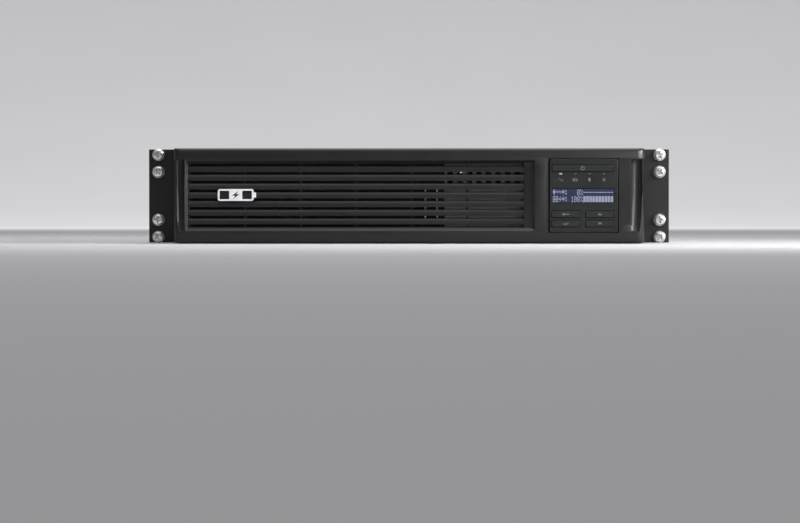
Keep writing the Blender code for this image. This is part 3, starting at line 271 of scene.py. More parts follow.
MATERIALS = {
    "bezel_plastic": moulded("charcoal_moulding", (0.0105, 0.0105, 0.0113), 0.36, 0.43),
    "display_plastic": moulded("smoked_front", (0.0118, 0.0130, 0.0124), 0.34, 0.42),
    "key_plastic": moulded("key_moulding", (0.0120, 0.0130, 0.0128), 0.38, 0.42),
    "window": smoked_window(),
    "lcd": moulded("display_carrier", (0.05, 0.055, 0.07), 0.4),
    "light_pipe": clear_lens(),
    "black_steel": powder_coat("black_powder_coat", (0.0115, 0.0115, 0.0125)),
    "zinc_steel": zinc_plate("galvanised_sheet", (0.36, 0.37, 0.38)),
    "nickel": plated("bright_nickel", (0.78, 0.77, 0.75), 0.33),
    "aluminium": extruded_aluminium(),
    "core_steel": laminated_steel(),
    "copper": wound_copper(),
    "battery_case": moulded("battery_case", (0.045, 0.048, 0.053), 0.5),
    "circuit_board": circuit_board_look(),
    "connector": moulded("black_nylon", (0.016, 0.016, 0.017), 0.48),
    "connector_grey": moulded("grey_nylon", (0.20, 0.21, 0.23), 0.5),
    "fan_plastic": moulded("fan_moulding", (0.013, 0.013, 0.014), 0.45),
    "badge": printed("silver_white_mark", (0.78, 0.79, 0.81), 0.35),
    "red_wire": moulded("red_insulation", (0.42, 0.012, 0.012), 0.42),
    "black_wire": moulded("black_insulation", (0.012, 0.012, 0.013), 0.42),
    "ribbon": flat_cable(),
}
MARK = printed("printed_mark", (0.17, 0.175, 0.18))
LIT_MARK = glowing("lit_mark", (0.29, 0.31, 0.41), 1.0)
BACKLIGHT = glowing("blue_backlight", (0.020, 0.026, 0.066), 1.0)
LIT_LENS = glowing("lit_lens", (0.30, 0.34, 0.31), 1.0)
BLACK_ZINC = plated("black_zinc", (0.07, 0.07, 0.075), 0.4)
BRASS = plated("contact_brass", (0.72, 0.50, 0.20), 0.35)
GOLD = plated("gold_contacts", (0.90, 0.62, 0.22), 0.25)
PORT_PLASTIC = moulded("port_tongue", (0.02, 0.05, 0.13), 0.45)
EARTH_GREEN = moulded("earth_washer", (0.02, 0.16, 0.03), 0.45)
RELAY_BLUE = moulded("relay_cases", (0.02, 0.06, 0.16), 0.4)
FILM_YELLOW = moulded("film_capacitors", (0.55, 0.36, 0.03), 0.4)
TAPE_YELLOW = moulded("winding_tape", (0.60, 0.44, 0.06), 0.35)
HEADER_WHITE = moulded("header_nylon", (0.62, 0.61, 0.57), 0.5)
CHIP_BLACK = moulded("chip_epoxy", (0.014, 0.014, 0.015), 0.55)
SLEEVE_BLUE = moulded("capacitor_sleeve", (0.012, 0.022, 0.07), 0.3)
TINNED = plated("tinned_leads", (0.70, 0.70, 0.69), 0.3)


def node_slot(node):
    """The record's material slot of a CAD node."""
    return next(part["material_slot"] for part in frame["record"]["subparts"] if part["node"] == node)


def body_of(node):
    bodies = frame["record"]["behaviour"]["bodies"]
    return next(body for body, nodes in bodies.items() if node in nodes)


def extent(node):
    """A node's (low, high) pairs along X, Y and Z, in millimetres."""
    low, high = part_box(node)
    return [(a / MM, b / MM) for a, b in zip(low, high)]


def centre_of(node):
    return [(low + high) / 2 for low, high in extent(node)]


def front_of(node):
    return extent(node)[1][0]


def back_of(node):
    return extent(node)[1][1]


# ---------------------------------------------------------------- shapes in a bmesh


def placed(outline, axis, at):
    """The outline's points in space: they lie across the axis, in X, Y, Z order."""
    first, second, along = AXES[axis]
    points = []
    for u, v in outline:
        point = [0.0, 0.0, 0.0]
        point[first], point[second], point[along] = u, v, at
        points.append(point)
    return points


def add_loft(bm, loops):
    """A closed solid through loops of the same number of points."""
    rows = [[bm.verts.new(point) for point in loop] for loop in loops]
    count = len(rows[0])
    for near, far in zip(rows, rows[1:]):
        for i in range(count):
            j = (i + 1) % count
            bm.faces.new((near[i], near[j], far[j], far[i]))
    bm.faces.new(rows[0])
    bm.faces.new(rows[-1])


def add_prism(bm, outline, axis, low, high):
    add_loft(bm, [placed(outline, axis, low), placed(outline, axis, high)])


def add_box(bm, xs, ys, zs):
    add_prism(bm, [(xs[0], ys[0]), (xs[1], ys[0]), (xs[1], ys[1]), (xs[0], ys[1])], "Z", *zs)


def add_lathe(bm, profile, centre, axis="Y", sides=24):
    """A turned shape from (radius, place along the axis) points, solid if they start and end at radius 0."""
    first, second, along = AXES[axis]
    rings = []
    for radius, at in profile:
        ring = []
        for i in range(sides if radius else 1):
            turn = 2 * math.pi * i / sides
            point = list(centre)
            point[first] += radius * math.cos(turn)
            point[second] += radius * math.sin(turn)
            point[along] += at
            ring.append(bm.verts.new(point))
        rings.append(ring)
    for near, far in zip(rings, rings[1:]):
        for i in range(sides):
            j = (i + 1) % sides
            corners = [near[i % len(near)], near[j % len(near)], far[j % len(far)], far[i % len(far)]]
            bm.faces.new(list(dict.fromkeys(corners)))


def add_can(bm, centre, radius, low, high, axis="Z", sides=24, edge=0.4):
    """A cylinder with a small chamfer at each end."""
    profile = [(0, low), (radius - edge, low), (radius, low + edge), (radius, high - edge)]
    add_lathe(bm, [*profile, (radius - edge, high), (0, high)], centre, axis, sides)


def shapes(add, *all_arguments):
    """A bmesh with one shape for each tuple of arguments."""
    bm = bmesh.new()
    for arguments in all_arguments:
        add(bm, *arguments)
    return bm


def around(centre, width, height):
    """The (low, high) pairs of a rectangle about a centre."""
    return (
        (centre[0] - width / 2, centre[0] + width / 2),
        (centre[1] - height / 2, centre[1] + height / 2),
    )


def bar(centre, width, height):
    """A rectangle's outline about its centre."""
    (u0, u1), (v0, v1) = around(centre, width, height)
    return [(u0, v0), (u1, v0), (u1, v1), (u0, v1)]


def evenly(count):
    """The angles that share a full turn equally, in radians."""
    return [2 * math.pi * i / count for i in range(count)]


def arc(centre, radius, start, end, steps):
    turns = [math.radians(start + (end - start) * i / steps) for i in range(steps + 1)]
    return [(centre[0] + radius * math.cos(t), centre[1] + radius * math.sin(t)) for t in turns]


def ring(centre, outer, inner, start, end, steps=28):
    """An arc-shaped band's outline, in degrees from +X."""
    return arc(centre, outer, start, end, steps) + arc(centre, inner, end, start, steps)


def cross(arm, width, angle=0):
    """A cross's outline about its centre, from the length and the width of its arms."""
    half = width / 2
    outline = [(arm, half), (half, half), (half, arm), (-half, arm), (-half, half), (-arm, half)]
    outline += [(-u, -v) for u, v in outline]
    cos, sin = math.cos(math.radians(angle)), math.sin(math.radians(angle))
    return [(u * cos - v * sin, u * sin + v * cos) for u, v in outline]


def moved(outline, x, z):
    return [(x + u, z + v) for u, v in outline]


def smooth_route(route, steps=6):
    """Points along a Catmull-Rom curve through the route's own points."""
    ends = [route[0], *route, route[-1]]
    points = []
    for a, b, c, d in zip(ends, ends[1:], ends[2:], ends[3:]):
        for i in range(steps):
            t = i / steps
            point = []
            for p, q, r, s in zip(a, b, c, d):
                cubic = (3 * q - p - 3 * r + s) * t**3 + (2 * p - 5 * q + 4 * r - s) * t**2 + (r - p) * t
                point.append(q + cubic / 2)
            points.append(point)
    return points + [route[-1]]


# ---------------------------------------------------------------- pieces


def to_mesh(bm, name, sharp_angle=35, scale=MM):
    """The bmesh as a mesh in metres, smooth but for its sharp edges."""
    bmesh.ops.recalc_face_normals(bm, faces=bm.faces[:])
    bm.transform(Matrix.Scale(scale, 4))
    mesh = bpy.data.meshes.new(name)
    bm.to_mesh(mesh)
    bm.free()
    mesh.shade_smooth()
    mesh.set_sharp_from_angle(angle=math.radians(sharp_angle))
    return mesh


def rounded_edges(obj, width_mm, segments=2, angle=32):
    modifier = obj.modifiers.new("Rounded edges", "BEVEL")
    modifier.width = width_mm * MM
    modifier.segments = segments
    modifier.limit_method = "ANGLE"
    modifier.angle_limit = math.radians(angle)
    modifier.use_clamp_overlap = False
    modifier.harden_normals = True
    return obj


def piece(name, mesh, body, slot, material=None, bevel_mm=0.0):
    """Makes the mesh a piece that rides on the body and wears the material."""
    obj = bpy.data.objects.new(name, mesh)
    bpy.context.scene.collection.objects.link(obj)
    mesh.materials.append(material or MATERIALS[slot])
    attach(obj, body)
    if bevel_mm:
        rounded_edges(obj, bevel_mm)
    return obj


def repeated(name, add, places, slot, material=None, bevel_mm=0.0, body="chassis"):
    """One piece made of the same kind of shape at each place."""
    return piece(name, to_mesh(shapes(add, *places), name), body, slot, material, bevel_mm)


def softened(node, width_mm, segments=2, material=None, angle=32, merge_mm=0.02):
    """A copy of a CAD node, with close points merged and sharp edges rounded, which stands for it."""
    bm = bmesh.new()
    bm.from_mesh(frame["nodes"][node].data)
    bmesh.ops.remove_doubles(bm, verts=bm.verts[:], dist=merge_mm * MM)
    bmesh.ops.dissolve_limit(bm, angle_limit=math.radians(0.2), verts=bm.verts[:], edges=bm.edges[:])
    obj = piece(f"{node}_shell", to_mesh(bm, node, scale=1.0), body_of(node), node_slot(node), material)
    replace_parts(obj, node)
    return rounded_edges(obj, width_mm, segments, angle)


def paint(obj, material, xs=None, ys=None, zs=None):
    """Gives the material to the faces whose middles lie within the spans, in millimetres."""
    obj.data.materials.append(material)
    index = len(obj.data.materials) - 1
    for face in obj.data.polygons:
        spans = zip(face.center, (xs, ys, zs))
        if all(span is None or span[0] <= value / MM <= span[1] for value, span in spans):
            face.material_index = index
    return obj


def front_marks(name, outlines, face_y, body, slot, material, proud=0.08):
    """Thin raised shapes on a surface that faces the front."""
    places = [(outline, "Y", face_y - proud, face_y) for outline in outlines]
    return repeated(name, add_prism, places, slot, material, body=body)


def wire(name, route, radius, body, slot):
    """A round wire along a smooth route in millimetres."""
    points = [Vector(point) for point in smooth_route(route)]
    bm = bmesh.new()
    rings = []
    # Any direction that the wire doesn't start along.
    side = Vector((0.3, 0.2, 1.0))
    for i, point in enumerate(points):
        along = (points[min(i + 1, len(points) - 1)] - points[max(i - 1, 0)]).normalized()
        side = (side - along * side.dot(along)).normalized()
        up = along.cross(side)
        spokes = [math.cos(t) * side + math.sin(t) * up for t in evenly(WIRE_SIDES)]
        rings.append([point + radius * spoke for spoke in spokes])
    add_loft(bm, rings)
    piece(name, to_mesh(bm, name, 60), body, slot)


# ---------------------------------------------------------------- screws


def cross_cutter(arm, width, front_y, depth):
    """A tapering cross to cut from a screw's head."""
    bm = bmesh.new()
    loops = []
    for y, share in ((front_y - 1, 1.25), (front_y + depth, 0.55)):
        loops.append(placed(cross(arm * share, width * share), "Y", y))
    add_loft(bm, loops)
    return bpy.data.objects.new("cross_cutter", to_mesh(bm, "cross_cutter"))


def screw_mesh(name, profile, sides, recess):
    """A turned screw with a cross recess in its head, which faces -Y."""
    blank = bpy.data.objects.new(name, to_mesh(shapes(add_lathe, (profile, (0, 0, 0), "Y", sides)), name))
    cutter = cross_cutter(*recess)
    for obj in (blank, cutter):
        bpy.context.scene.collection.objects.link(obj)
    modifier = blank.modifiers.new("Cross", "BOOLEAN")
    modifier.operation = "DIFFERENCE"
    modifier.solver = "EXACT"
    modifier.object = cutter
    mesh = bpy.data.meshes.new_from_object(blank.evaluated_get(bpy.context.evaluated_depsgraph_get()))
    for obj in (blank, cutter):
        bpy.data.objects.remove(obj)
    mesh.shade_smooth()
    mesh.set_sharp_from_angle(angle=math.radians(38))
    return mesh


def rack_screw_mesh():
    """A pan-head rack screw on a cupped washer, seated at Y 0 with its head towards -Y."""
    head = [(0, -4.5), (2.9, -4.42), (4.1, -4.15), (4.75, -3.6), (5.05, -2.8), (5.15, -1.9), (5.15, -1.05)]
    washer = [(5.5, -1.1), (5.72, -0.8), (5.75, -0.3), (5.6, 0.0), (2.9, 0.0)]
    thread = []
    for turn in range(9):
        thread += [(2.9, 1.0 + 1.4 * turn), (2.45, 1.7 + 1.4 * turn)]
    profile = head + washer + thread + [(2.2, RACK_SCREW_LENGTH - 0.2), (0, RACK_SCREW_LENGTH)]
    return screw_mesh("rack_screw", profile, 40, (2.9, 1.25, -4.5, 2.8))


def add_rack_screws():
    mesh = rack_screw_mesh()
    for number in range(1, 9):
        node = f"rack_screw_{number}"
        x, _, z = centre_of(node)
        seat = back_of(node) - RACK_SCREW_LENGTH
        turned = mesh.copy()
        turned.transform(Matrix.Rotation(math.radians(17 + 41 * number), 4, "Y"))
        turned.transform(Matrix.Translation(Vector((x, seat, z)) * MM))
        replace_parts(piece(f"{node}_bright", turned, "chassis", "nickel"), node)


# How a screw whose head faces the front is turned to face another side.
SCREW_TURNS = {
    "back": Matrix.Rotation(math.pi, 4, "Z"),
    "left": Matrix.Rotation(-math.pi / 2, 4, "Z"),
    "right": Matrix.Rotation(math.pi / 2, 4, "Z"),
    "top": Matrix.Rotation(-math.pi / 2, 4, "X"),
}


def add_small_screws(name, places, side, radius, slot="nickel"):
    """A set of pan-head screws whose heads face one side, seated at places in millimetres."""
    dome = [(0, -1.15), (radius * 0.62, -1.1), (radius * 0.9, -0.8), (radius, -0.35)]
    recess = (radius * 0.62, radius * 0.26, -1.15, 0.7)
    head = screw_mesh("small_screw", [*dome, (radius, 0.12), (0, 0.12)], 24, recess)
    for number, place in enumerate(places, 1):
        spin = Matrix.Rotation(math.radians(29 * number + 11), 4, "Y")
        turned = head.copy()
        turned.transform(Matrix.Translation(Vector(place) * MM) @ SCREW_TURNS[side] @ spin)
        piece(f"{name}_{number}", turned, "chassis", slot)


# ---------------------------------------------------------------- the front


def battery_symbol(x, z):
    """A small battery: a frame of four bars, its terminal and its charge."""
    return [
        bar((x - 0.2, z + 1.05), 4.0, 0.45),
        bar((x - 0.2, z - 1.05), 4.0, 0.45),
        bar((x - 2.0, z), 0.45, 1.66),
        bar((x + 1.6, z), 0.45, 1.66),
        bar((x + 2.15, z), 0.5, 1.0),
        bar((x - 0.7, z), 1.4, 1.0),
    ]


def fault_symbol(x, z):
    return [moved(cross(1.95, 0.6, 45), x, z)]


def mains_symbol(x, z):
    """One cycle of a wave."""
    wave = [(-2.2 + 4.4 * i / 14, 1.1 * math.sin(2 * math.pi * i / 14)) for i in range(15)]
    return [moved([(u, v + 0.3) for u, v in wave] + [(u, v - 0.3) for u, v in reversed(wave)], x, z)]


def boost_symbol(x, z):
    return [moved([(-1.6, 0.1), (1.6, 0.1), (0, 1.8)], x, z), bar((x, z - 0.85), 1.1, 1.7)]


def status_lights():
    """The four lenses and the symbol under each. The first light is lit."""
    face = front_of("display_housing")
    first_x = extent("status_light_pipe")[0][0] + 3
    light_z = centre_of("status_light_pipe")[2]
    symbol_z = light_z - 5.4
    dome = [(0, -0.32), (0.5, -0.28), (0.9, -0.12), (1.0, 0.1), (0, 0.1)]
    oval = Matrix.Diagonal((1.6, 1, 0.85, 1))
    symbols = {
        "mains": mains_symbol,
        "battery": battery_symbol,
        "boost": boost_symbol,
        "fault": fault_symbol,
    }
    for number, (name, symbol) in enumerate(symbols.items()):
        x = first_x + LIGHT_PITCH * number
        front_marks(f"{name}_symbol", symbol(x, symbol_z), face, "chassis", "badge", MARK)
        lens = to_mesh(shapes(add_lathe, (dome, (0, 0, 0), "Y", 20)), f"{name}_light")
        lens.transform(Matrix.Translation(Vector((x, face, light_z)) * MM) @ oval)
        piece(f"{name}_light", lens, "chassis", "light_pipe", LIT_LENS if number == 0 else None)


def key_outlines(node, x, z):
    """A key's symbol: power, back, enter, up or down."""
    if node == "power_button":
        return [ring((x, z - 0.1), 1.9, 1.4, 120, 420), bar((x, z + 1.1), 0.5, 1.9)]
    if node == "escape_key":
        return [moved([(-3.4, 0), (-1.5, 1.4), (-1.5, -1.4)], x, z), bar((x + 0.9, z), 4.8, 0.75)]
    if node == "enter_key":
        hook = [bar((x + 0.75, z - 0.5), 2.9, 0.6), bar((x + 1.9, z + 0.55), 0.6, 1.5)]
        return [moved([(-2.2, -0.5), (-0.7, 0.9), (-0.7, -1.9)], x, z), *hook]
    rise = 1 if node == "up_key" else -1
    return [moved([(-1.9, -0.9 * rise), (1.9, -0.9 * rise), (0, 1.1 * rise)], x, z)]


def keys():
    for node in KEY_NODES:
        softened(node, 0.3)
        x, _, z = centre_of(node)
        front_marks(f"{node}_symbol", key_outlines(node, x, z), front_of(node), node, "badge", MARK)


DOTS = {
    "0": (".###.", "#...#", "#..##", "#.#.#", "##..#", "#...#", ".###."),
    "1": ("..#..", ".##..", "..#..", "..#..", "..#..", "..#..", ".###."),
    "%": ("##...", "##..#", "...#.", "..#..", ".#...", "#..##", "...##"),
    "plug": (".#.#.", ".#.#.", "#####", "#####", ".###.", "..#..", "..#.."),
    "wave": (".....", ".#...", "#.#.#", "#.#.#", "...#.", ".....", "....."),
    "arrow": ("..#..", "...#.", "#####", "#####", "...#.", "..#..", "....."),
    "cell_left": ("#####", "#....", "#.###", "#.###", "#.###", "#....", "#####"),
    "cell_right": ("####.", "...#.", "##.##", "##.##", "##.##", "...#.", "####."),
    "bolt": ("...#.", "..#..", ".#...", "#####", "...#.", "..#..", ".#..."),
    "colon": (".....", ".##..", ".##..", ".....", ".##..", ".##..", "....."),
    "dash": (".....", ".....", ".....", "#####", ".....", ".....", "....."),
    "block": ("#####", "#####", "#####", "#####", "#####", "#####", "#####"),
    "blank": (".....",) * 7,
}
# A sign is 5 dots wide and 7 high, and its cell is as many dots wide and high as this.
CELL_DOTS = (5.8, 8.0)
LINES = (
    ["plug", "wave", "wave", "arrow", "colon", "blank", "blank", "blank", "0", "%"] + ["dash"] * 10,
    ["cell_left", "cell_right", "bolt", "arrow", "colon", "blank", "1", "0", "0", "%"] + ["block"] * 10,
)


def display_face():
    """The lit panel: a dark blue field and two lines of dots, on the window."""
    side_margin, end_margin, thickness, depth = 1.1, 2.1, 0.03, 0.16
    x, _, z = centre_of("lcd_module")
    xs, _, zs = extent("lcd_module")
    width, height = xs[1] - xs[0] - 2 * side_margin, zs[1] - zs[0] - 2 * end_margin
    face = front_of("display_housing") + depth
    front_marks("lcd_field", [bar((x, z), width, height)], face, "chassis", "lcd", BACKLIGHT, thickness)
    cell_width, cell_height = width / len(LINES[0]), height / len(LINES)
    pitch_x, pitch_z = cell_width / CELL_DOTS[0], cell_height / CELL_DOTS[1]
    dot_width, dot_height = 0.9 * pitch_x, 0.9 * pitch_z
    dots = []
    for row, line in enumerate(LINES):
        top = z + height / 2 - row * cell_height - 0.35
        for column, sign in enumerate(line):
            left = x - width / 2 + column * cell_width + 0.2
            for j, pattern in enumerate(DOTS[sign]):
                for i, dot in enumerate(pattern):
                    if dot == "#":
                        spot = (left + (i + 0.5) * pitch_x, top - (j + 0.5) * pitch_z)
                        dots.append(bar(spot, dot_width, dot_height))
    front_marks("lcd_dots", dots, face - 0.04, "chassis", "lcd", LIT_MARK, thickness)


def build_front():
    softened("bezel_frame", 0.2, angle=38, merge_mm=0.2)
    softened("bezel_louvres", 0.25)
    softened("bezel_badge", 0.15)
    softened("display_housing", 0.3)
    softened("display_window", 0.1, 1)
    status_lights()
    keys()
    display_face()


# ---------------------------------------------------------------- the chassis


def ear_screws():
    """Four screws through each ear's leg, into the chassis's side."""
    for side, out in SIDES.items():
        back = back_of(f"rack_ear_{side}")
        places = [(out * EAR_LEG_FACE, back - inset, z) for inset in (12, 55) for z in (20, 68)]
        add_small_screws(f"ear_screw_{side}", places, side, 3.0)


def build_chassis():
    for node, width in (
        ("chassis_pan", 0.4),
        ("top_cover", 0.35),
        ("front_panel", 0.2),
        ("rear_panel", 0.25),
        ("bay_divider", 0.3),
        ("rack_ear_left", 0.4),
        ("rack_ear_right", 0.4),
    ):
        softened(node, width)
    add_rack_screws()
    ear_screws()
    xs, ys, zs = extent("top_cover")
    rows = [ys[0] + 20 + (ys[1] - ys[0] - 40) * i / 3 for i in range(4)]
    places = [(x, y, zs[1]) for x in (xs[0] + 6, xs[1] - 6) for y in rows]
    add_small_screws("cover_screw", places, "top", 2.8, "black_steel")


# ---------------------------------------------------------------- the rear


def outlets():
    """The outlet banks with the contacts inside each slot."""
    for side in SIDES:
        node = f"outlet_bank_{side}"
        softened(node, 0.3)
        x, _, z = centre_of(node)
        back = back_of(node)
        contacts = []
        for dx, dz in OUTLET_OFFSETS:
            for slot_x, slot_z in OUTLET_SLOTS:
                for edge in (-0.85, 0.85):
                    span_x, span_z = around((x + dx + slot_x + edge, z + dz + slot_z), 0.4, 3.8)
                    contacts.append((span_x, (back - 13, back - 4.5), span_z))
        repeated(f"{node}_contacts", add_box, contacts, "nickel", BRASS)


def inlet():
    """The mains inlet, with its three bright pins."""
    obj = softened("ac_inlet", 0.3)
    x, _, z = centre_of("ac_inlet")
    back = back_of("ac_inlet")
    for dx, dz in INLET_PINS:
        span_x, span_z = around((x + dx, z + dz), 2.4, 4.4)
        paint(obj, MATERIALS["nickel"], span_x, (back - 19, back - 2.5), span_z)


def ports():
    """The network and USB sockets, with their contacts and the two link lights."""
    obj = softened("data_ports", 0.25)
    xs, ys, zs = extent("data_ports")
    back = ys[1]
    usb_tongue = ((xs[0] + 18.5, xs[1] - 4.5), (ys[0] + 2, back - 1.5), (zs[0] + 6.5, zs[1] - 6.5))
    paint(obj, PORT_PLASTIC, *usb_tongue)
    network_x = xs[0] + 8
    contacts = []
    for i in range(8):
        pin_x = network_x - 4 + 1.1 * i
        contacts.append(((pin_x, pin_x + 0.5), (back - 11, back - 3), (zs[0] + 4.4, zs[0] + 5.0)))
    repeated("network_contacts", add_box, contacts, "nickel", GOLD)
    lights = []
    for x in (network_x - 4, network_x + 4):
        lights.append(((x - 1.3, x + 1.3), (back - 0.2, back + 0.15), (zs[1] - 3.4, zs[1] - 1.6)))
    repeated("link_lights", add_box, lights, "light_pipe", EARTH_GREEN)


def breaker():
    """The breaker's bright collar, and its button with a rounded top."""
    body = softened("breaker_body", 0.3)
    rear_y = back_of("rear_panel")
    paint(body, MATERIALS["nickel"], ys=(rear_y + 0.35, rear_y + 5))
    x, _, z = centre_of("breaker_button")
    bottom, top = extent("breaker_button")[1]
    profile = [(0, bottom), (4.0, bottom), (4.0, top - 1.1), (3.7, top - 0.45), (2.9, top - 0.1), (0, top)]
    places = [(profile, (x, 0, z), "Y", 28)]
    cap = repeated("breaker_button_cap", add_lathe, places, "connector_grey", body="breaker_button")
    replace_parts(cap, "breaker_button")


def earth_stud():
    """A hexagon-headed earth screw on a washer, in the rear panel."""
    rear_y = back_of("rear_panel")
    xs, _, zs = extent("accessory_slot_cover")
    x, z = xs[1] - 11, zs[0] - 7
    washer = [(0, -0.1), (3.9, -0.1), (3.9, 0.5), (3.6, 0.7), (0, 0.7)]
    repeated("earth_washer", add_lathe, [(washer, (x, rear_y, z), "Y", 28)], "connector", EARTH_GREEN)
    hexagon = arc((x, z), 2.9, 0, 300, 5)
    repeated("earth_screw", add_prism, [(hexagon, "Y", rear_y + 0.6, rear_y + 2.4)], "nickel", bevel_mm=0.25)


def slot_cover():
    """The accessory slot's plate with a thumb screw at each end."""
    softened("accessory_slot_cover", 0.3)
    xs, ys, zs = extent("accessory_slot_cover")
    face = ys[1] - 1.4
    knurl = []
    for i, turn in enumerate(evenly(48)):
        radius = 3.1 if i % 2 else 2.85
        knurl.append((radius * math.cos(turn), radius * math.sin(turn)))
    for number, x in enumerate((xs[0] + 4, xs[1] - 4), 1):
        rim = moved(knurl, x, (zs[0] + zs[1]) / 2)
        repeated(f"thumb_screw_{number}", add_prism, [(rim, "Y", face, face + 1.2)], "nickel")


def rear_screws():
    """Screws round the rear panel's edge, and four for each fan."""
    xs, ys, zs = extent("rear_panel")
    edge = [(x, ys[1], z) for x in (xs[0] + 5, xs[1] - 5) for z in (zs[0] + 6, zs[1] - 6)]
    edge += [(x, ys[1], z) for z in (zs[1] - 4.5, zs[0] + 4.5) for x in REAR_SCREW_COLUMNS]
    add_small_screws("rear_screw", edge, "back", 2.5, "black_steel")
    offsets = (-FAN_SCREW_OFFSET, FAN_SCREW_OFFSET)
    for side in SIDES:
        x, _, z = centre_of(f"fan_housing_{side}")
        corners = [(x + dx, ys[1], z + dz) for dx in offsets for dz in offsets]
        add_small_screws(f"fan_screw_{side}", corners, "back", 2.6)


def fans():
    for side in SIDES:
        softened(f"fan_housing_{side}", 0.3)
        softened(f"fan_rotor_{side}", 0.2, merge_mm=0.3)


def build_rear():
    outlets()
    inlet()
    ports()
    breaker()
    earth_stud()
    slot_cover()
    rear_screws()
    fans()


# ---------------------------------------------------------------- the battery module


def battery_blocks():
    """The four blocks, with a vent cover on each lid and a booted terminal at each end."""
    terminals = {}
    for number in range(1, 5):
        node = f"battery_block_{number}"
        softened(node, 0.25)
        xs, ys, zs = extent(node)
        cover = ((xs[1] - 0.1, xs[1] + 0.55), (ys[0] + 32, ys[1] - 32), (zs[0] + 18, zs[1] - 18))
        repeated(f"vent_cover_{number}", add_box, [cover], "battery_case", None, 0.25, "battery_module")
        for end, y, slot in (("front", ys[0] + 14, "red_wire"), ("rear", ys[1] - 14, "black_wire")):
            x = xs[1] - 2.3
            terminals[number, end] = (x, y, zs[1])
            tab = ((x - 0.4, x + 0.4), (y - 3.15, y + 3.15), (zs[1] - 8.6, zs[1] + 2))
            repeated(f"terminal_{number}_{end}", add_box, [tab], "nickel", TINNED, 0.1, "battery_module")
            boot = ((x - 2.1, x + 2.1), (y - 4.3, y + 4.3), (zs[1] - 0.5, zs[1] + 6.2))
            repeated(f"terminal_boot_{number}_{end}", add_box, [boot], slot, None, 0.8, "battery_module")
    return terminals


def jumper(name, start, end, slot):
    """A lead between two booted terminals, over the blocks' tops. A long one sags between them."""
    start, end = Vector(start), Vector(end)
    across = end - start
    rise = Vector((0, 0, JUMPER_RISE))
    route = [start + Vector((0, 0, 3)), start + 0.08 * across + rise]
    if abs(across.x) > 50:
        for share in (0.3, 0.6):
            route.append(start + share * across + Vector((0, 5 * math.sin(math.pi * share), 2.6)))
    else:
        route.append(start + across / 2 + rise + Vector((2, 0, -0.6)))
    route += [end - 0.08 * across + rise, end + Vector((0, 0, 3))]
    wire(name, route, 1.6, "battery_module", slot)


def battery_leads(terminals):
    """Jumpers that join the blocks in series, and the two leads to the plug behind the tray."""
    jumper("jumper_1", terminals[1, "rear"], terminals[2, "front"], "black_wire")
    jumper("jumper_2", terminals[3, "rear"], terminals[4, "front"], "black_wire")
    jumper("jumper_3", terminals[1, "front"], terminals[3, "front"], "red_wire")
    xs, ys, zs = extent("battery_plug")
    plug_y = ys[0] + 4.5
    for name, terminal, plug_x, slot in (
        ("lead_negative", terminals[2, "rear"], xs[0] + 5, "black_wire"),
        ("lead_positive", terminals[4, "rear"], xs[0] + 15, "red_wire"),
    ):
        x, y, z = terminal
        route = [(x, y, z + 3), (x + 3, y + 1, z + 8)]
        if plug_x - x > 50:
            route += [(x + 35, y + 5, z + 3), (x + 70, y + 8, z + 3)]
        route += [(plug_x - 2, plug_y - 10, z - 1), (plug_x, plug_y - 1.5, z - 14)]
        route.append((plug_x, plug_y, zs[1] - 2))
        wire(name, route, 2.0, "battery_module", slot)


def tray_handle():
    """The bright channel, with painted shade: its web and back wear black powder coat so that they read as
    shaded, and only the front of its two flanges stays bright metal.
    """
    handle = softened("tray_handle", 0.2)
    xs, ys, _ = extent("tray_handle")
    # Painted shade: the web between the flanges and the back face are given black powder coat to stand for
    # the shade in the channel.
    paint(handle, MATERIALS["black_steel"], (xs[0] + 1.3, xs[1] - 1.3))
    paint(handle, MATERIALS["black_steel"], ys=(ys[1] - 1, ys[1] + 1))


def build_battery_module():
    softened("battery_tray", 0.3)
    softened("battery_plate", 0.3)
    for side in SIDES:
        softened(f"plate_fastener_{side}", 0.25, material=BLACK_ZINC)
    tray_handle()
    battery_leads(battery_blocks())
    plug = softened("battery_plug", 0.4)
    front, back = extent("battery_plug")[1]
    paint(plug, MATERIALS["nickel"], ys=(front + 9.2, back + 1))


# ---------------------------------------------------------------- the electronics


def transformer():
    """The core with its through bolts, and the winding between two bobbin flanges."""
    softened("transformer_core", 0.5)
    softened("transformer_coil", 2.0, 4)
    xs, ys, zs = extent("transformer_core")
    corners = [(x, z) for x in (xs[0] + 8, xs[1] - 8) for z in (zs[0] + 8, zs[1] - 8)]
    for number, corner in enumerate(corners, 1):
        hexagon = arc(corner, 4.6, 0, 300, 5)
        heads = [(hexagon, "Y", ys[0] - 4, ys[0] - 0.2), (hexagon, "Y", ys[1] + 0.2, ys[1] + 4)]
        repeated(f"core_bolt_{number}", add_prism, heads, "nickel", BLACK_ZINC, 0.4)


def heatsinks():
    """The two extrusions, each with four transistors screwed to its base."""
    for side, out in SIDES.items():
        node = f"heatsink_{side}"
        softened(node, 0.2)
        xs, ys, zs = extent(node)
        base = xs[0] if side == "left" else xs[1]
        face = base + out * TRANSISTOR_DEPTH
        rows = [ys[0] + 22 + 42 * i for i in range(4)]
        cases = [(sorted((base, face)), (y - 8, y + 8), (zs[0] + 10, zs[0] + 31)) for y in rows]
        repeated(f"transistors_{side}", add_box, cases, "connector", CHIP_BLACK, 0.3)
        add_small_screws(f"transistor_screw_{side}", [(face, y, zs[0] + 27) for y in rows], side, 2.4)


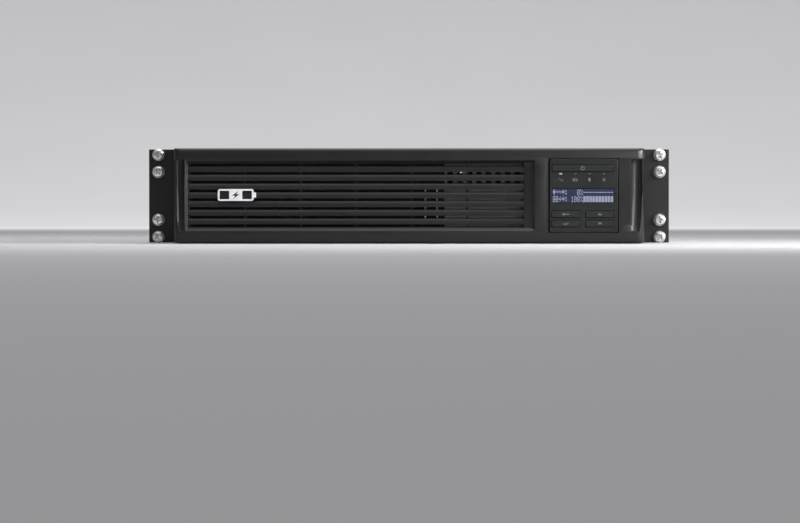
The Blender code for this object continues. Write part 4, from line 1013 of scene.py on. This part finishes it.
def bulk_capacitors():
    """Two tall cans in blue sleeves, with an aluminium top."""
    for number in (1, 2):
        node = f"bulk_capacitor_{number}"
        _, ys, (low, high) = extent(node)
        x, y, _ = centre_of(node)
        radius = (ys[1] - ys[0]) / 2
        groove = [(radius, low + 3), (radius - 0.9, low + 4), (radius - 0.9, low + 5), (radius, low + 6)]
        rim = arc((radius - 1.4, high - 1.4), 1.4, 0, 90, 4)
        sleeve = [(0, low), (radius - 0.6, low), (radius, low + 0.6), *groove, *rim]
        sleeve += [(radius - 3.4, high - 0.2), (0, high - 0.2)]
        can = repeated(f"{node}_can", add_lathe, [(sleeve, (x, y, 0), "Z", 40)], "black_wire", SLEEVE_BLUE)
        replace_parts(can, node)
        top = ((x, y, 0), radius - 3.4, high - 0.6, high - 0.05, "Z", 32, 0.1)
        repeated(f"{node}_top", add_can, [top], "aluminium")


# The main board's parts, in millimetres: the span and height over the board of those that are painted,
# then (x, y) of a corner or the middle of each of the others.
BOARD_TOP = 11.6
PAINTED_PARTS = (
    (RELAY_BLUE, (148, 168), (18, 118), 20),
    (EARTH_GREEN, (52, 76), (148, 194), 24),
    (TAPE_YELLOW, (94, 130), (-52, -16), 32),
    (HEADER_WHITE, (182, 200), (-61, -53), 14),
)
CHIPS = ((72, -40), (74, 10), (124, 4), (128, 60), (76, 110), (130, 170))
SMALL_CANS = ((76, 60), (76, 74), (76, 88), (122, 130), (134, 130), (146, 134), (96, 150))
FILM_BLOCKS = ((130, -50), (142, -50), (154, -50), (100, 166), (112, 166))
RESISTORS = tuple((x, y) for x in (120, 125, 130, 135) for y in (30, 44, 90, 104))
CHOKES = ((150, 150), (176, 164))
CHIP_SIZE = (9, 7, 2.2)
LEG_PITCH = 1.27
LEG_SIZE = (0.4, 9.4, 0.5)
FILM_SIZE = (8, 20, 15)


def on_board(x, y, width, depth, height):
    """The spans of a box that stands on the board with a corner at (x, y)."""
    return (x, x + width), (y, y + depth), (BOARD_TOP, BOARD_TOP + height)


def main_board():
    """The board, its painted parts, and the small components between them."""
    board = softened("main_board", 0.2)
    for material, xs, ys, height in PAINTED_PARTS:
        paint(board, material, xs, ys, (BOARD_TOP + 0.5, BOARD_TOP + height))
    cases = [on_board(x, y, *CHIP_SIZE) for x, y in CHIPS]
    repeated("chips", add_box, cases, "connector", CHIP_BLACK, 0.2)
    legs = [on_board(x + 1 + LEG_PITCH * i, y - 1.2, *LEG_SIZE) for x, y in CHIPS for i in range(6)]
    repeated("chip_legs", add_box, legs, "nickel", TINNED)
    cans = [((x, y, BOARD_TOP), 5.0, 0, 13) for x, y in SMALL_CANS]
    repeated("small_capacitors", add_can, cans, "black_wire", SLEEVE_BLUE)
    films = [on_board(x, y, *FILM_SIZE) for x, y in FILM_BLOCKS]
    repeated("film_capacitors", add_box, films, "connector", FILM_YELLOW, 0.8)
    resistors = [((x, y, BOARD_TOP + 1.6), 1.3, -3.4, 3.4, "Y", 14) for x, y in RESISTORS]
    repeated("resistors", add_can, resistors, "connector_grey", HEADER_WHITE)
    for number, (x, y) in enumerate(CHOKES, 1):
        choke(f"choke_{number}", (x, y, BOARD_TOP + 7))


def around_axis(centre, turn, reach, rise):
    """A point at a turn about the vertical axis through the centre."""
    return Vector(centre) + Vector((reach * math.cos(turn), reach * math.sin(turn), rise))


def join_rings(bm, rings):
    """Faces between rings of points, with the last ring joined to the first."""
    for near, far in zip(rings, rings[1:] + rings[:1]):
        for i in range(len(near)):
            j = (i + 1) % len(near)
            bm.faces.new((near[i], near[j], far[j], far[i]))


def ring_section(radius, half_width, half_height):
    """A ring's oval section: (distance from the ring's axis, height) pairs."""
    return [(radius + half_width * math.cos(t), half_height * math.sin(t)) for t in evenly(24)]


def choke(name, centre, radius=9.0):
    """A ring core lying on the board, with wire wound round it."""
    wound = bmesh.new()
    path = ring_section(radius, 4.4, 5.0)
    for turn in evenly(22):
        add_ring_wire(wound, [around_axis(centre, turn, reach, rise) for reach, rise in path], 0.7)
    piece(name, to_mesh(wound, name, 60), "chassis", "copper")
    core = bmesh.new()
    section = ring_section(radius, 3.5, 4.1)
    rings = []
    for turn in evenly(32):
        rings.append([core.verts.new(around_axis(centre, turn, reach, rise)) for reach, rise in section])
    join_rings(core, rings)
    piece(f"{name}_core", to_mesh(core, f"{name}_core", 60), "chassis", "core_steel", TAPE_YELLOW)


def add_ring_wire(bm, points, radius, sides=8):
    """A closed loop of round wire through the points."""
    middle = sum(points, Vector()) / len(points)
    rings = []
    for i, point in enumerate(points):
        along = (points[(i + 1) % len(points)] - points[i - 1]).normalized()
        out = (point - middle).normalized()
        across = along.cross(out).normalized()
        spokes = [math.cos(t) * out + math.sin(t) * across for t in evenly(sides)]
        rings.append([bm.verts.new(point + radius * spoke) for spoke in spokes])
    join_rings(bm, rings)


def build_electronics():
    transformer()
    heatsinks()
    bulk_capacitors()
    main_board()
    softened("battery_socket", 0.4)
    for node in ("display_board", "lcd_module"):
        softened(node, 0.15)


def dress_remaining_nodes():
    """Each CAD node that no piece replaces wears its slot's material."""
    for name, obj in frame["nodes"].items():
        if not obj.hide_render:
            obj.data.materials.clear()
            obj.data.materials.append(MATERIALS[node_slot(name)])


# ---------------------------------------------------------------- stage, lights, camera


def build_stage():
    """A wide pale floor whose rim curves up into a backdrop all round."""
    flat, curve = 6.0, 4.0
    profile = [(0, 0), (1.0, 0), (3.0, 0), (flat, 0), *arc((flat, curve), curve, -80, -20, 6)]
    bm = shapes(add_lathe, (profile, (0, 0, 0), "Z", 64))
    bmesh.ops.reverse_faces(bm, faces=bm.faces[:])
    mesh = bpy.data.meshes.new("stage")
    bm.to_mesh(mesh)
    bm.free()
    mesh.shade_smooth()
    stage = bpy.data.objects.new("stage", mesh)
    stage.location.z = -0.0004
    bpy.context.scene.collection.objects.link(stage)
    paper = Look("stage_paper", (0.49, 0.49, 0.50), 0.95, specular=0.0)
    mesh.materials.append(paper.mottled(0.4, 0.01).grained(0.004, 0.0001).material)


def add_light(name, place, target, size, power, spread=180):
    data = bpy.data.lights.new(name, "AREA")
    data.shape = "RECTANGLE"
    data.size, data.size_y = size
    data.energy = power
    data.spread = math.radians(spread)
    light = bpy.data.objects.new(name, data)
    light.location = place
    light.rotation_euler = (Vector(target) - Vector(place)).to_track_quat("-Z", "Y").to_euler()
    light.visible_camera = False
    bpy.context.scene.collection.objects.link(light)


def build_lights():
    front = (0.05, -0.23, 0.05)
    add_light("overhead", (0.05, -0.05, 1.5), (0.05, -0.05, 0), (1.0, 1.7), 11)
    add_light("ceiling", (0, 0.75, 4.5), (0, 0.75, 0), (6, 9.5), 150)
    add_light("right_side", (1.5, -0.5, 0.62), front, (0.35, 0.6), 3.4, 60)
    add_light("right_mid", (1.25, -1.15, 0.5), (0.13, -0.23, 0.06), (0.4, 0.4), 2.0, 60)
    add_light("right_front", (0.35, -0.60, 0.17), (0.2, -0.24, 0.08), (0.08, 0.08), 0.15)
    add_light("backdrop_wash", (0, 4.0, 3.0), (0, 8.5, 0.3), (6, 1), 230)
    world = bpy.data.worlds.new("studio")
    world.use_nodes = True
    world.node_tree.nodes["Background"].inputs["Color"].default_value = (0.80, 0.80, 0.82, 1)
    world.node_tree.nodes["Background"].inputs["Strength"].default_value = 0.34
    bpy.context.scene.world = world


def build_camera():
    """A long lens, low in front of the unit."""
    plane_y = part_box("rack_ear_left")[0].y
    aim = Vector((CAMERA_X, plane_y, centre_of("rack_ear_left")[2] * MM - AIM_BELOW_MIDDLE))
    place = Vector((CAMERA_X, plane_y - CAMERA_DISTANCE, CAMERA_HEIGHT))
    data = bpy.data.cameras.new("camera")
    data.sensor_width = SENSOR_WIDTH_MM
    data.lens = LENS_MM
    data.clip_start, data.clip_end = 0.05, 40
    camera = bpy.data.objects.new("camera", data)
    camera.location = place
    camera.rotation_euler = (aim - place).to_track_quat("-Z", "Y").to_euler()
    bpy.context.scene.collection.objects.link(camera)
    bpy.context.scene.camera = camera
    bpy.context.scene.view_settings.view_transform = "Standard"


build_front()
build_chassis()
build_rear()
build_battery_module()
build_electronics()
dress_remaining_nodes()
build_stage()
build_lights()
build_camera()
